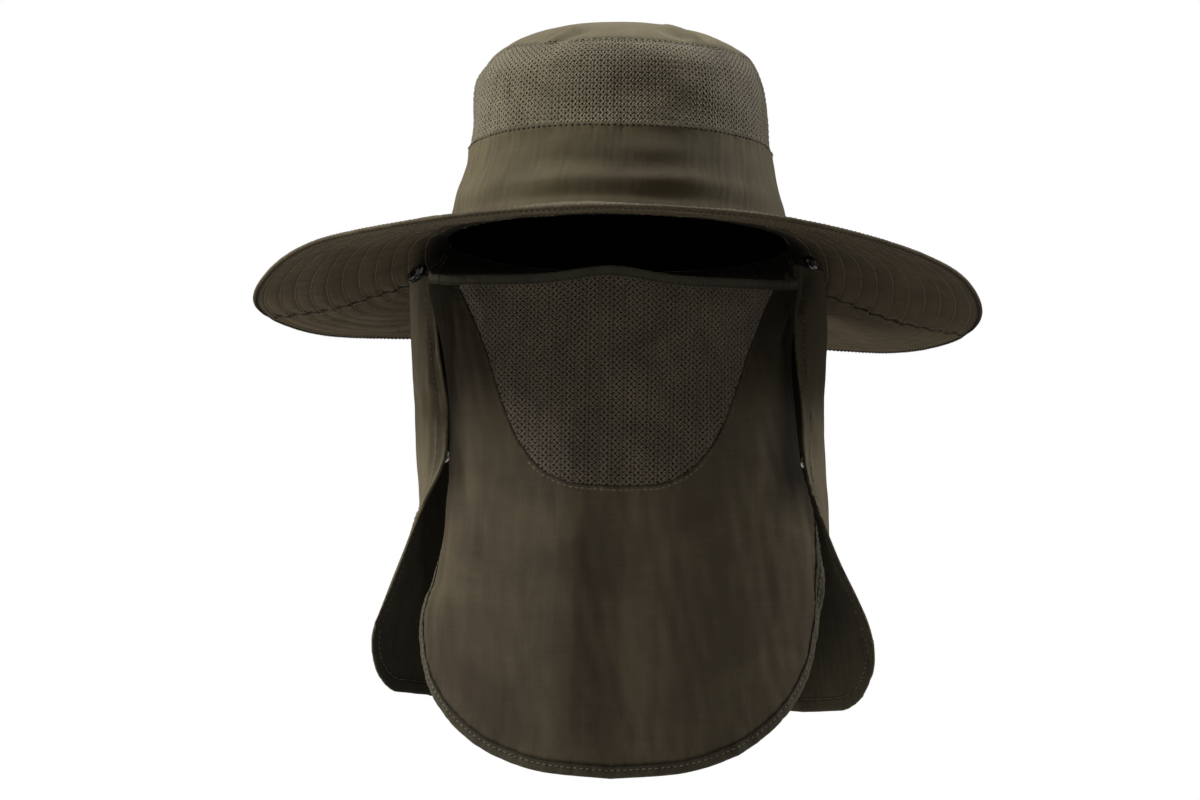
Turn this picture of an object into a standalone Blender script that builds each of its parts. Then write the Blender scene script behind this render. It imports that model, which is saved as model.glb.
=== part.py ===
"""A flap sun hat in olive cloth, each sewn piece as its own solid.

X is to the right as the front is seen, Y is to the back and Z is up, all in metres. The origin is the
middle of the crown's opening, at the seam with the brim. Every piece is a cloth sheet, given by its
middle surface and thickened both ways.
"""
import bmesh
import bpy
import numpy as np

MM = 0.001

# Named sizes
CROWN_HALF_WIDTH = 88 * MM
CROWN_HALF_LENGTH = 101 * MM
CROWN_HEIGHT = 110 * MM
BRIM_HALF_WIDTH = 185.5 * MM
BRIM_HALF_LENGTH = 200 * MM
BRIM_DROP = 36 * MM
SIDE_SEAM_DEGREES = 100.0
BAND_BOTTOM = 2.0 * MM
NET_BOTTOM = 46.5 * MM
TIP_SEAM = 89.0 * MM

CROWN_WALL = 1.5 * MM
BRIM_WALL = 2.5 * MM
FLAP_WALL = 1.2 * MM
NET_WALL = 1.0 * MM
HEM_WALL = 2.2 * MM
SEAM_GAP = 0.35 * MM

FLAP_HALF_WIDTH = 100 * MM
FOLD_DEPTH = 2 * MM

FACE_TOP = -28.5 * MM
FACE_LENGTH = 245 * MM
FACE_HALF_TOP = 150 * MM
FACE_CORNER_RISE = 15.5 * MM
FACE_HEM = 5.0 * MM
FACE_BINDING = 5.0 * MM

NECK_LENGTH = 233 * MM
NECK_BOTTOM_LEFT = -231 * MM
NECK_BOTTOM_RIGHT = -237 * MM
NECK_BOTTOM_BACK = -242 * MM
NECK_CORNER_ROUND = 34 * MM
NECK_FIRST = -5 * MM

SNAP_SIZE = 5 * MM
STUD_SIZE = 4 * MM
SNAP_SEAT = FLAP_WALL / 2 + SEAM_GAP


class Table:
    """Rows of named columns, read smoothly between the rows along the first column."""

    def __init__(self, columns, rows):
        data = np.array(rows, float)
        self.keys = data[:, 0]
        self.columns = {}
        for index, name in enumerate(columns[1:], start=1):
            values = data[:, index]
            self.columns[name] = (values, self.slopes(self.keys, values))

    @staticmethod
    def slopes(keys, values):
        """Slopes that keep the curve from passing beyond its rows."""
        steps = np.diff(keys)
        rises = np.diff(values) / steps
        result = np.zeros(len(keys))
        result[0] = rises[0]
        result[-1] = rises[-1]
        for i in range(1, len(keys) - 1):
            if rises[i - 1] * rises[i] > 0:
                weight = (steps[i - 1] + 2 * steps[i]) / (3 * (steps[i - 1] + steps[i]))
                result[i] = rises[i - 1] * rises[i] / (weight * rises[i] + (1 - weight) * rises[i - 1])
        return result

    def at(self, name, key):
        """The value of one column at a key, or at an array of keys."""
        values, slopes = self.columns[name]
        key = np.clip(np.asarray(key, float), self.keys[0], self.keys[-1])
        i = np.clip(np.searchsorted(self.keys, key) - 1, 0, len(self.keys) - 2)
        step = self.keys[i + 1] - self.keys[i]
        t = (key - self.keys[i]) / step
        return (values[i] * (1 + 2 * t) * (1 - t) ** 2 + slopes[i] * step * t * (1 - t) ** 2
                + values[i + 1] * t ** 2 * (3 - 2 * t) + slopes[i + 1] * step * t ** 2 * (t - 1))


# The crown by height: shares of its height, half width and half length, and how boxy its plan is
CROWN = Table(("height", "width", "length", "boxy"), (
    (0.000, 1.000, 1.000, 2.05),
    (0.140, 0.955, 0.965, 2.10),
    (0.345, 0.885, 0.905, 2.20),
    (0.440, 0.860, 0.880, 2.35),
    (0.545, 0.852, 0.865, 2.40),
    (0.705, 0.835, 0.838, 2.40),
    (0.780, 0.802, 0.800, 2.30),
    (0.830, 0.755, 0.745, 2.20),
    (0.875, 0.690, 0.675, 2.15),
    (0.915, 0.595, 0.585, 2.10),
    (0.950, 0.465, 0.460, 2.05),
    (0.982, 0.270, 0.270, 2.00),
    (1.000, 0.000, 0.000, 2.00),
))

# The brim by azimuth from the front: its edge's drop on the left and on the right, and how much it dips
BRIM_EDGE = Table(("azimuth", "left", "right", "dip"), (
    (0, 0.330, 0.330, 0.00),
    (25, 0.400, 0.405, 0.00),
    (40, 0.480, 0.530, 0.00),
    (55, 0.590, 0.640, 0.03),
    (68, 0.770, 0.770, 0.10),
    (78, 0.920, 0.940, 0.26),
    (90, 0.975, 1.030, 0.72),
    (105, 1.010, 1.130, 1.00),
    (120, 1.030, 1.140, 0.85),
    (132, 0.950, 1.060, 0.60),
    (145, 0.830, 0.900, 0.35),
    (162, 0.720, 0.760, 0.12),
    (180, 0.700, 0.700, 0.05),
))

# How the brim falls from its seam to its edge, as shares of the edge's drop: plain, and where it dips at the sides
BRIM_FALL = Table(("out", "plain", "dipped"), (
    (0.00, 0.000, 0.000),
    (0.10, 0.072, 0.330),
    (0.22, 0.180, 0.545),
    (0.40, 0.355, 0.700),
    (0.66, 0.625, 0.900),
    (1.00, 1.000, 1.000),
))

# The face panel's plan by depth, in shares of the flaps' half width: its reach to either side, and where its
# front and widest parts lie
FACE = Table(("depth", "left", "right", "front", "widest", "taper", "boxy"), (
    (0.00, 0.935, 0.890, -1.180, -0.440, 0.18, 2.15),
    (0.15, 0.855, 0.865, -1.170, -0.500, 0.22, 2.15),
    (0.31, 0.810, 0.895, -1.150, -0.540, 0.25, 2.20),
    (0.42, 0.810, 0.938, -1.130, -0.540, 0.22, 2.20),
    (0.50, 0.820, 0.965, -1.120, -0.520, 0.16, 2.20),
    (0.60, 0.870, 1.010, -1.100, -0.480, 0.08, 2.15),
    (0.68, 0.950, 1.045, -1.090, -0.430, 0.02, 2.10),
    (0.80, 0.985, 1.085, -1.080, -0.380, 0.00, 2.05),
    (1.00, 1.000, 1.100, -1.050, -0.340, 0.00, 2.05),
))

# The bound edge of the face panel along its path from the bottom: shares of half the top and of the length
FACE_OUTER = Table(("path", "across", "down"), (
    (0.00, 0.000, 1.000),
    (0.10, 0.205, 0.990),
    (0.20, 0.395, 0.958),
    (0.29, 0.570, 0.895),
    (0.37, 0.690, 0.820),
    (0.45, 0.760, 0.730),
    (0.56, 0.810, 0.590),
    (0.70, 0.870, 0.400),
    (0.85, 0.945, 0.190),
    (1.00, 1.000, 0.000),
))

# The edge of its net insert, in the same shares
FACE_INNER = Table(("path", "across", "down"), (
    (0.00, 0.000, 0.422),
    (0.14, 0.120, 0.419),
    (0.27, 0.222, 0.396),
    (0.40, 0.305, 0.345),
    (0.50, 0.354, 0.292),
    (0.62, 0.400, 0.222),
    (0.76, 0.450, 0.138),
    (0.90, 0.515, 0.055),
    (1.00, 0.575, 0.000),
))

# The neck flap's plan by depth, in the same shares: its front edge, cheek and side on each side, and its rear
NECK_LEFT = Table(("depth", "front_x", "front_y", "cheek_x", "cheek_y", "side_x", "side_y"), (
    (0.00, 0.945, -0.310, 1.030, -0.170, 1.060, 0.220),
    (0.17, 0.913, -0.310, 1.010, -0.170, 1.045, 0.240),
    (0.28, 0.880, -0.320, 0.985, -0.180, 1.025, 0.260),
    (0.38, 0.846, -0.330, 0.960, -0.190, 1.010, 0.260),
    (0.46, 0.845, -0.340, 0.950, -0.200, 1.000, 0.260),
    (0.51, 0.880, -0.340, 0.950, -0.180, 0.990, 0.260),
    (0.56, 0.940, -0.340, 0.970, -0.140, 0.985, 0.240),
    (0.69, 1.060, -0.360, 1.025, -0.130, 0.990, 0.200),
    (0.77, 1.128, -0.380, 1.065, -0.140, 1.005, 0.200),
    (0.84, 1.185, -0.400, 1.100, -0.150, 1.020, 0.200),
    (1.00, 1.240, -0.420, 1.140, -0.160, 1.040, 0.180),
))

NECK_RIGHT = Table(("depth", "front_x", "front_y", "cheek_x", "cheek_y", "side_x", "side_y"), (
    (0.00, 0.880, -0.310, 0.995, -0.180, 1.050, 0.220),
    (0.17, 0.884, -0.310, 1.010, -0.180, 1.065, 0.240),
    (0.28, 0.907, -0.320, 1.015, -0.180, 1.060, 0.260),
    (0.38, 0.938, -0.330, 1.020, -0.180, 1.055, 0.260),
    (0.47, 0.954, -0.340, 1.025, -0.170, 1.055, 0.260),
    (0.55, 1.005, -0.340, 1.040, -0.150, 1.065, 0.240),
    (0.61, 1.059, -0.350, 1.060, -0.140, 1.065, 0.220),
    (0.69, 1.132, -0.360, 1.095, -0.130, 1.070, 0.200),
    (0.77, 1.215, -0.380, 1.145, -0.140, 1.085, 0.200),
    (0.85, 1.278, -0.400, 1.185, -0.150, 1.105, 0.200),
    (1.00, 1.320, -0.420, 1.220, -0.160, 1.120, 0.180),
))

NECK_BACK = Table(("depth", "rear_x", "rear_y", "back_y"), (
    (0.00, 0.840, 0.770, 1.070),
    (0.35, 0.840, 0.790, 1.090),
    (0.66, 0.840, 0.780, 1.080),
    (1.00, 0.840, 0.760, 1.040),
))

# The neck flap's top edge from the back to its front edge: how low it lies, in shares of its length
NECK_TOP = Table(("around", "left", "right"), (
    (0.00, 0.015, 0.015),
    (0.55, 0.034, 0.034),
    (0.72, 0.064, 0.049),
    (0.86, 0.086, 0.060),
    (0.94, 0.094, 0.064),
    (1.00, 0.097, 0.061),
))

# Soft folds of the face panel, in shares of half its top and of its length: where they lie, how far they reach
# either way, and how many fold depths they stand out
FACE_FOLDS = (
    # across, down, wide, long, out
    (-0.160, 0.686, 0.113, 0.347, 1.30),
    (0.047, 0.653, 0.087, 0.367, -1.00),
    (0.347, 0.755, 0.133, 0.286, 0.80),
    (-0.480, 0.510, 0.087, 0.245, 0.70),
    (-0.093, 0.237, 0.053, 0.184, 1.10),
    (0.040, 0.245, 0.053, 0.171, -1.00),
    (0.240, 0.269, 0.087, 0.163, 0.75),
    (0.587, 0.171, 0.053, 0.131, 0.90),
)

# Soft folds of the neck flap: the share around, how low in shares of its length, their reach either way, and how
# many fold depths they stand out
NECK_FOLDS = (
    # around, low, wide, long, out
    (-0.62, 0.644, 0.07, 0.386, 1.50),
    (-0.40, 0.730, 0.08, 0.386, -1.50),
    (-0.18, 0.815, 0.08, 0.429, 2.00),
    (0.06, 0.858, 0.08, 0.429, -1.50),
    (0.28, 0.773, 0.08, 0.429, 2.00),
    (0.48, 0.730, 0.07, 0.386, -1.50),
    (0.66, 0.644, 0.07, 0.386, 1.50),
)

# Soft creases of the crown's plain band: azimuth, height in shares of the crown's, their reach either way, and how
# many fold depths they stand out
BAND_FOLDS = (
    # azimuth, height, wide, high, out
    (-8, 0.309, 46, 0.036, -0.65),
    (4, 0.227, 50, 0.055, 0.70),
    (150, 0.273, 40, 0.045, -0.60),
    (-140, 0.200, 35, 0.055, 0.60),
)


def material(name, colour, roughness=0.9, metal=0.0):
    """A plain Principled material of its own."""
    result = bpy.data.materials.new(name)
    result.use_nodes = True
    shader = result.node_tree.nodes["Principled BSDF"]
    shader.inputs["Base Color"].default_value = (*colour, 1.0)
    shader.inputs["Roughness"].default_value = roughness
    shader.inputs["Metallic"].default_value = metal
    result.diffuse_color = (*colour, 1.0)
    return result


def add_object(name, points, faces, paint):
    """An object of these points and faces, shaded smooth."""
    mesh = bpy.data.meshes.new(name)
    mesh.from_pydata([tuple(map(float, p)) for p in points], [], faces)
    work = bmesh.new()
    work.from_mesh(mesh)
    bmesh.ops.remove_doubles(work, verts=work.verts, dist=0.00005)
    bmesh.ops.recalc_face_normals(work, faces=work.faces)
    work.to_mesh(mesh)
    work.free()
    for face in mesh.polygons:
        face.use_smooth = True
    mesh.materials.append(paint)
    result = bpy.data.objects.new(name, mesh)
    bpy.context.scene.collection.objects.link(result)
    return result


def sheet(name, grid, wall, paint, around=False):
    """A cloth sheet from a grid of points on its middle surface."""
    rows, columns = grid.shape[:2]
    points = grid.reshape(-1, 3)
    faces = []
    for r in range(rows - 1):
        for c in range(columns if around else columns - 1):
            n = (c + 1) % columns
            corners = [r * columns + c, r * columns + n, (r + 1) * columns + n, (r + 1) * columns + c]
            places = {tuple(np.round(points[i] / (50 * MM * MM))) for i in corners}
            if len(places) >= 3:
                faces.append(corners)
    result = add_object(name, points, faces, paint)
    solid = result.modifiers.new("cloth", "SOLIDIFY")
    solid.thickness = wall
    solid.offset = 0.0
    solid.use_even_offset = True
    solid.use_rim = True
    return result


def oval(half_width, half_length, boxy, azimuth):
    """A point of an oval plan; the azimuth is from the front, to the right."""
    s = np.sin(azimuth)
    c = np.cos(azimuth)
    reach = 1.0 / (np.abs(s) ** boxy + np.abs(c) ** boxy) ** (1.0 / boxy)
    return half_width * reach * s, -half_length * reach * c


def swell(rows, u, v):
    """How far the folds of a list stand out at a place, in metres."""
    total = 0.0
    for at_u, at_v, wide, high, out in rows:
        total += out * FOLD_DEPTH * np.exp(-((u - at_u) / wide) ** 2 - ((v - at_v) / high) ** 2)
    return total


def crown_point(azimuth, height):
    """A point of the crown's middle surface."""
    share = height / CROWN_HEIGHT
    x, y = oval(CROWN_HALF_WIDTH * CROWN.at("width", share), CROWN_HALF_LENGTH * CROWN.at("length", share),
                CROWN.at("boxy", share), azimuth)
    turned_by = (np.degrees(azimuth) + 180) % 360 - 180
    fade = min(max((NET_BOTTOM - height) / NET_BOTTOM * 8, 0.0), 1.0) * min(max(height / NET_BOTTOM * 6, 0.0), 1.0)
    out = 1.0 + swell(BAND_FOLDS, turned_by, share) * fade / CROWN_HALF_WIDTH
    return np.array([x * out, y * out, height])


def crown_ring(name, low, high, rows, columns, paint):
    """A ring of the crown between two heights."""
    turns = np.linspace(0, 2 * np.pi, columns, endpoint=False)
    heights = np.linspace(low, high, rows + 1)
    grid = np.array([[crown_point(a, h) for a in turns] for h in heights])
    return sheet(name, grid, CROWN_WALL, paint, around=True)


def crown_tip(paint, rows, columns):
    """The domed top of the crown, its rows closing to one point."""
    turns = np.linspace(0, 2 * np.pi, columns, endpoint=False)
    start = TIP_SEAM + SEAM_GAP
    swing = np.linspace(0, np.pi / 2, rows + 1)
    heights = start + (CROWN_HEIGHT - start) * np.sin(swing)
    heights[-1] = CROWN_HEIGHT
    grid = np.array([[crown_point(a, h) for a in turns] for h in heights])
    return sheet("crown_tip", grid, CROWN_WALL, paint, around=True)


def brim_drop(azimuth):
    """How far the brim's edge hangs, by azimuth."""
    degrees = np.abs((np.degrees(azimuth) + 180) % 360 - 180)
    side = "right" if np.sin(azimuth) >= 0 else "left"
    return BRIM_DROP * BRIM_EDGE.at(side, degrees)


def brim_fall(azimuth, out):
    """How far the brim has fallen at a share of the way out."""
    degrees = np.abs((np.degrees(azimuth) + 180) % 360 - 180)
    dip = BRIM_EDGE.at("dip", degrees)
    share = BRIM_FALL.at("plain", out) * (1 - dip) + BRIM_FALL.at("dipped", out) * dip
    return brim_drop(azimuth) * share


def brim_point(azimuth, out):
    """A point of the brim, from its seam (0) to its edge (1)."""
    x0, y0 = oval(CROWN_HALF_WIDTH, CROWN_HALF_LENGTH, 2.05, azimuth)
    x1, y1 = oval(BRIM_HALF_WIDTH, BRIM_HALF_LENGTH, 2.0, azimuth)
    return np.array([x0 + (x1 - x0) * out, y0 + (y1 - y0) * out, -brim_fall(azimuth, out)])


def brim_height(x, y):
    """The height of the brim's middle surface over a place near the crown."""
    azimuth = np.arctan2(x / CROWN_HALF_WIDTH, -y / CROWN_HALF_LENGTH)
    inner = brim_point(azimuth, 0.0)
    outer = brim_point(azimuth, 1.0)
    out = (np.hypot(x, y) - np.hypot(*inner[:2])) / (np.hypot(*outer[:2]) - np.hypot(*inner[:2]))
    return -brim_fall(azimuth, max(out, 0.0))


def brim_piece(name, start, end, rows, columns, paint):
    """One piece of the brim between two side seams, set back from each by half a gap."""
    turns = np.radians(np.linspace(start, end, columns + 1))
    grid = np.array([[brim_point(a, o) for a in turns] for o in np.linspace(0.0, 1.0, rows + 1) ** 1.3])
    for column, inward in ((0, 1), (columns, -1)):
        along = grid[:, column + inward] - grid[:, column]
        along /= np.linalg.norm(along, axis=1)[:, None]
        grid[:, column] += along * (SEAM_GAP / 2)
    return sheet(name, grid, BRIM_WALL, paint)


def face_plan(depth, across):
    """Where the face panel passes at a depth share, by the distance along its plan from the middle."""
    width = FACE.at("left" if across < 0 else "right", depth) * FLAP_HALF_WIDTH
    front = FACE.at("front", depth) * FLAP_HALF_WIDTH
    widest = FACE.at("widest", depth) * FLAP_HALF_WIDTH
    boxy = FACE.at("boxy", depth)
    swing = np.linspace(0, np.pi / 2, 48)
    x, y = oval(width, widest - front, boxy, swing)
    tail = np.linspace(0, 0.9 * FLAP_HALF_WIDTH, 10)[1:]
    x = np.append(x, width - FACE.at("taper", depth) * tail)
    y = np.append(y + widest, widest + tail)
    lengths = np.append(0.0, np.cumsum(np.hypot(np.diff(x), np.diff(y))))
    reach = np.interp(abs(across), lengths, x)
    return np.sign(across) * reach, np.interp(abs(across), lengths, y)


def face_point(across, down):
    """A point of the face panel: its distance from the middle line and from the top edge."""
    share = min(abs(across) / FACE_HALF_TOP, 1.1)
    z = FACE_TOP + FACE_CORNER_RISE * share ** 3 - down
    depth = (FACE_TOP - z) / FACE_LENGTH
    x, y = face_plan(depth, across)
    out = swell(FACE_FOLDS, across / FACE_HALF_TOP, down / FACE_LENGTH)
    return np.array([x, y - out, z])


def face_curve(table, count, inset=0.0):
    """A curve of the face panel laid flat, from its top left round the bottom to its top right."""
    path = np.linspace(-1, 1, 401)
    top = FACE_HEM + SEAM_GAP
    across = np.sign(path) * table.at("across", np.abs(path)) * FACE_HALF_TOP
    down = top + table.at("down", np.abs(path)) * (FACE_LENGTH - top)
    run = np.gradient(across)
    fall = np.gradient(down)
    size = np.hypot(run, fall)
    across = across + fall / size * inset
    down = np.maximum(down - run / size * inset, top)
    down[0] = top
    down[-1] = top
    lengths = np.append(0.0, np.cumsum(np.hypot(np.diff(across), np.diff(down))))
    places = np.linspace(0, lengths[-1], count + 1)
    return np.stack([np.interp(places, lengths, across), np.interp(places, lengths, down)], axis=1)


def face_sheet(name, flat, wall, paint):
    """A sheet of the face panel from a grid of flat places."""
    grid = np.array([[face_point(*place) for place in row] for row in flat])
    return sheet(name, grid, wall, paint)


def face_net(paint, rows, columns):
    """The net insert, as a patch between its top line and its U-shaped edge."""
    edge = face_curve(FACE_INNER, 2 * rows + columns, inset=SEAM_GAP / 2)
    left = edge[:rows + 1]
    low = edge[rows:rows + columns + 1]
    right = edge[rows + columns:][::-1]
    high = left[0] + (right[0] - left[0]) * np.linspace(0, 1, columns + 1)[:, None]
    v = np.linspace(0, 1, rows + 1)[:, None, None]
    u = np.linspace(0, 1, columns + 1)[None, :, None]
    flat = ((1 - v) * high[None] + v * low[None] + (1 - u) * left[:, None] + u * right[:, None]
            - (1 - u) * (1 - v) * high[0] - u * (1 - v) * high[-1] - (1 - u) * v * low[0] - u * v * low[-1])
    return face_sheet("face_net", flat, NET_WALL, paint)


def face_band(name, inner, outer, rows, wall, paint):
    """A band of the face panel between two curves laid flat."""
    share = np.linspace(0, 1, rows + 1)[:, None, None]
    return face_sheet(name, inner[None] * (1 - share) + outer[None] * share, wall, paint)


def face_hem(paint, columns):
    """The folded hem along the top of the face panel."""
    across = np.linspace(-FACE_HALF_TOP, FACE_HALF_TOP, columns + 1)
    flat = np.array([[(a, d) for a in across] for d in (0.0, FACE_HEM)])
    return face_sheet("face_top_hem", flat, HEM_WALL, paint)


def neck_plan(depth, count):
    """The neck flap's plan at a depth share, from its left front edge round the back to its right one."""
    sides = []
    for table, sign in ((NECK_LEFT, -1), (NECK_RIGHT, 1)):
        value = {name: float(table.at(name, depth)) * FLAP_HALF_WIDTH for name in table.columns}
        sides.append([(sign * value[part + "_x"], value[part + "_y"]) for part in ("front", "cheek", "side")])
    rear = {name: float(NECK_BACK.at(name, depth)) * FLAP_HALF_WIDTH for name in NECK_BACK.columns}
    back = [(-rear["rear_x"], rear["rear_y"]), (0.0, rear["back_y"]), (rear["rear_x"], rear["rear_y"])]
    knots = np.array(sides[0] + back + sides[1][::-1])
    ends = np.vstack([2 * knots[0] - knots[1], knots, 2 * knots[-1] - knots[-2]])
    times = np.append(0.0, np.cumsum(np.sqrt(np.linalg.norm(np.diff(ends, axis=0), axis=1))))
    curve = []
    for i in range(1, len(ends) - 2):
        t = np.linspace(times[i], times[i + 1], 24, endpoint=i == len(ends) - 3)[:, None]
        p = ends[i - 1:i + 3]
        k = times[i - 1:i + 3]
        a = [(k[j + 1] - t) / (k[j + 1] - k[j]) * p[j] + (t - k[j]) / (k[j + 1] - k[j]) * p[j + 1] for j in range(3)]
        b = [(k[j + 2] - t) / (k[j + 2] - k[j]) * a[j] + (t - k[j]) / (k[j + 2] - k[j]) * a[j + 1] for j in range(2)]
        curve.append((k[2] - t) / (k[2] - k[1]) * b[0] + (t - k[1]) / (k[2] - k[1]) * b[1])
    curve = np.vstack(curve)
    lengths = np.append(0.0, np.cumsum(np.linalg.norm(np.diff(curve, axis=0), axis=1)))
    places = np.linspace(0, lengths[-1], count)
    return np.stack([np.interp(places, lengths, curve[:, 0]), np.interp(places, lengths, curve[:, 1])], axis=1)


def neck_edges(around, x, y):
    """The heights of the neck flap's top and bottom edges, by the share around and the place of its top."""
    side = "right" if around >= 0 else "left"
    low = float(NECK_TOP.at(side, abs(around))) * NECK_LENGTH
    top = min(-low, brim_height(x, y) - BRIM_WALL / 2 - 2.7 * SEAM_GAP)
    front = NECK_BOTTOM_RIGHT if around >= 0 else NECK_BOTTOM_LEFT
    bottom = NECK_BOTTOM_BACK + (front - NECK_BOTTOM_BACK) * min(abs(around) / 0.8, 1.0) ** 2
    turn = max((abs(around) - 0.83) / 0.17, 0.0)
    bottom += NECK_CORNER_ROUND * (1.0 - np.sqrt(max(1.0 - turn ** 2, 0.0)))
    return top, bottom


def neck_point(plans, around, z, top):
    """A point of the neck flap at a share around and a height, with its folds."""
    fine = len(plans[0]) - 1
    depth = np.clip((NECK_FIRST - z) / NECK_LENGTH, 0, 1) * (len(plans) - 1)
    i = min(int(depth), len(plans) - 2)
    place = (around + 1) / 2 * fine
    j = min(int(place), fine - 1)
    pair = [plans[k][j] * (1 - place + j) + plans[k][j + 1] * (place - j) for k in (i, i + 1)]
    x, y = pair[0] * (1 - depth + i) + pair[1] * (depth - i)
    out = swell(NECK_FOLDS, around, -z / NECK_LENGTH) * min((top - z) / NECK_LENGTH * 6, 1.0)
    size = 1.0 + out / np.hypot(x, y)
    return np.array([x * size, y * size, z])


def neck_flap(plans, paint, rows, columns):
    """The flap that hangs from ear to ear round the back, its front edges flaring at the bottom."""
    shares = np.sin(np.linspace(-np.pi / 2, np.pi / 2, columns + 1))
    shares = 0.35 * shares + 0.65 * np.linspace(-1, 1, columns + 1)
    grid = np.zeros((rows + 1, columns + 1, 3))
    for c, around in enumerate(shares):
        first = neck_point(plans, around, NECK_FIRST, NECK_FIRST)
        top, bottom = neck_edges(around, *first[:2])
        for r in range(rows + 1):
            grid[r, c] = neck_point(plans, around, top + (bottom - top) * r / rows, top)
    return sheet("neck_flap", grid, FLAP_WALL, paint)


def beside_neck(plans, around, z, stand_off, forward):
    """A place beside the neck flap, out of it or inside it, and the way that a snap there faces."""
    here = neck_point(plans, around, z, NECK_FIRST)
    near = neck_point(plans, around - 0.01 * np.sign(around), z, NECK_FIRST)
    along = (here - near) / np.linalg.norm(here - near)
    out = np.array([-along[1], along[0], 0.0])
    out *= np.sign(out[0] * around)
    facing = out + np.array([0.0, -forward, -forward / 2])
    return here + out * stand_off, facing


def turned(name, centre, axis, size, profile, paint, sides=20):
    """A small turned solid from a profile of (radius, height) pairs in shares of its radius."""
    axis = np.array(axis, float) / np.linalg.norm(axis)
    side = np.cross(axis, (0.0, 0.0, 1.0))
    side /= np.linalg.norm(side)
    other = np.cross(axis, side)
    points = []
    for radius, height in profile:
        for k in range(sides):
            a = 2 * np.pi * k / sides
            points.append(centre + (axis * height + (side * np.cos(a) + other * np.sin(a)) * radius) * size)
    faces = [list(range(sides))[::-1], [(len(profile) - 1) * sides + k for k in range(sides)]]
    for r in range(len(profile) - 1):
        for k in range(sides):
            n = (k + 1) % sides
            faces.append([r * sides + k, r * sides + n, (r + 1) * sides + n, (r + 1) * sides + k])
    return add_object(name, points, faces, paint)


# The outlines of the two snaps, as radius and height in shares of their radius
SNAP_PROFILE = ((0.92, -0.40), (1.00, -0.32), (1.00, 0.04), (0.90, 0.20), (0.68, 0.28), (0.60, 0.42), (0.28, 0.48))
STUD_PROFILE = ((0.90, -0.30), (1.00, -0.22), (1.00, 0.12), (0.80, 0.22), (0.40, 0.30))


def build():
    """Every piece of the hat."""
    cloth = (0.085, 0.075, 0.048)
    net = (0.055, 0.048, 0.032)
    trim = (0.060, 0.054, 0.036)
    dark = (0.012, 0.012, 0.012)
    crown_tip(material("crown_tip_cloth", cloth), 6, 48)
    crown_ring("crown_net", NET_BOTTOM + SEAM_GAP, TIP_SEAM, 4, 48, material("crown_net_mesh", net))
    crown_ring("crown_band", BAND_BOTTOM, NET_BOTTOM, 4, 48, material("crown_band_cloth", cloth))
    brim_piece("brim_front", -SIDE_SEAM_DEGREES, SIDE_SEAM_DEGREES, 6, 36, material("brim_front_cloth", cloth))
    brim_piece("brim_back", SIDE_SEAM_DEGREES, 360 - SIDE_SEAM_DEGREES, 6, 28, material("brim_back_cloth", cloth))
    plans = [neck_plan(d, 401) for d in np.linspace(0, 1, 41)]
    neck_flap(plans, material("neck_flap_cloth", cloth), 13, 40)
    face_hem(material("face_top_hem_cloth", trim), 36)
    face_net(material("face_net_mesh", net), 16, 24)
    inner = face_curve(FACE_INNER, 56, inset=-SEAM_GAP / 2)
    middle = face_curve(FACE_OUTER, 56, inset=FACE_BINDING + SEAM_GAP)
    face_band("face_flap", inner, middle, 5, FLAP_WALL, material("face_flap_cloth", cloth))
    fold = face_curve(FACE_OUTER, 56, inset=FACE_BINDING)
    edge = face_curve(FACE_OUTER, 56)
    face_band("face_edge_binding", fold, edge, 1, HEM_WALL, material("face_binding_cloth", trim))
    stand = SNAP_SEAT + SNAP_SIZE * 0.55
    inside = -(SNAP_SEAT + STUD_SIZE * 0.33)
    snaps = (
        ("snap_brim_left", -0.955, -0.091 * NECK_LENGTH, stand, 0.30, SNAP_SIZE, SNAP_PROFILE),
        ("snap_brim_right", 0.952, -0.056 * NECK_LENGTH, stand, 0.30, SNAP_SIZE, SNAP_PROFILE),
        ("snap_side_left", -0.980, -0.485 * NECK_LENGTH, inside, 0.0, STUD_SIZE, STUD_PROFILE),
        ("snap_side_right", 0.980, -0.485 * NECK_LENGTH, inside, 0.0, STUD_SIZE, STUD_PROFILE),
    )
    for name, around, z, stand_off, forward, size, profile in snaps:
        centre, facing = beside_neck(plans, around, z, stand_off, forward)
        turned(name, centre, facing, size, profile, material(name + "_metal", dark, 0.35, 0.9))


for item in list(bpy.data.objects):
    bpy.data.objects.remove(item)
build()
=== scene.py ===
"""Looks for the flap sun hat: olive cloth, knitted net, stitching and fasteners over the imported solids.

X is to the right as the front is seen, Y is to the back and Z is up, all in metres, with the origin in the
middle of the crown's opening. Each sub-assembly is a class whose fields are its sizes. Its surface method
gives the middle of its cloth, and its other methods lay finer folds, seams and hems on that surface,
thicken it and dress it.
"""
import logging
import math
from dataclasses import dataclass, field
from enum import Enum
from typing import Callable, Iterable, Sequence

import bmesh
import bpy
import numpy as np
from mathutils import Matrix, Vector
from mathutils.bvhtree import BVHTree


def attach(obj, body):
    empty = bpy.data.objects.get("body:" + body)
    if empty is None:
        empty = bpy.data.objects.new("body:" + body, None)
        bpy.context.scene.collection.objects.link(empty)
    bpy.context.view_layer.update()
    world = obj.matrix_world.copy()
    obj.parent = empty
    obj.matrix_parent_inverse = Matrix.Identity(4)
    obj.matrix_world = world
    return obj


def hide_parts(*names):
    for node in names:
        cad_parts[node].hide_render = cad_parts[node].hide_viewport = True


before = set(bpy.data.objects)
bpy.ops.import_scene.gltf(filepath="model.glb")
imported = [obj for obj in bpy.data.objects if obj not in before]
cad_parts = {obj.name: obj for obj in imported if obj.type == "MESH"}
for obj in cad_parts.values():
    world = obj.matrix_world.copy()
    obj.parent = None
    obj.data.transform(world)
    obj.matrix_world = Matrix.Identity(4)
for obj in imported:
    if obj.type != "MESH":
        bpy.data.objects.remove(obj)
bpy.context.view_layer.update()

MM = 0.001
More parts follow.
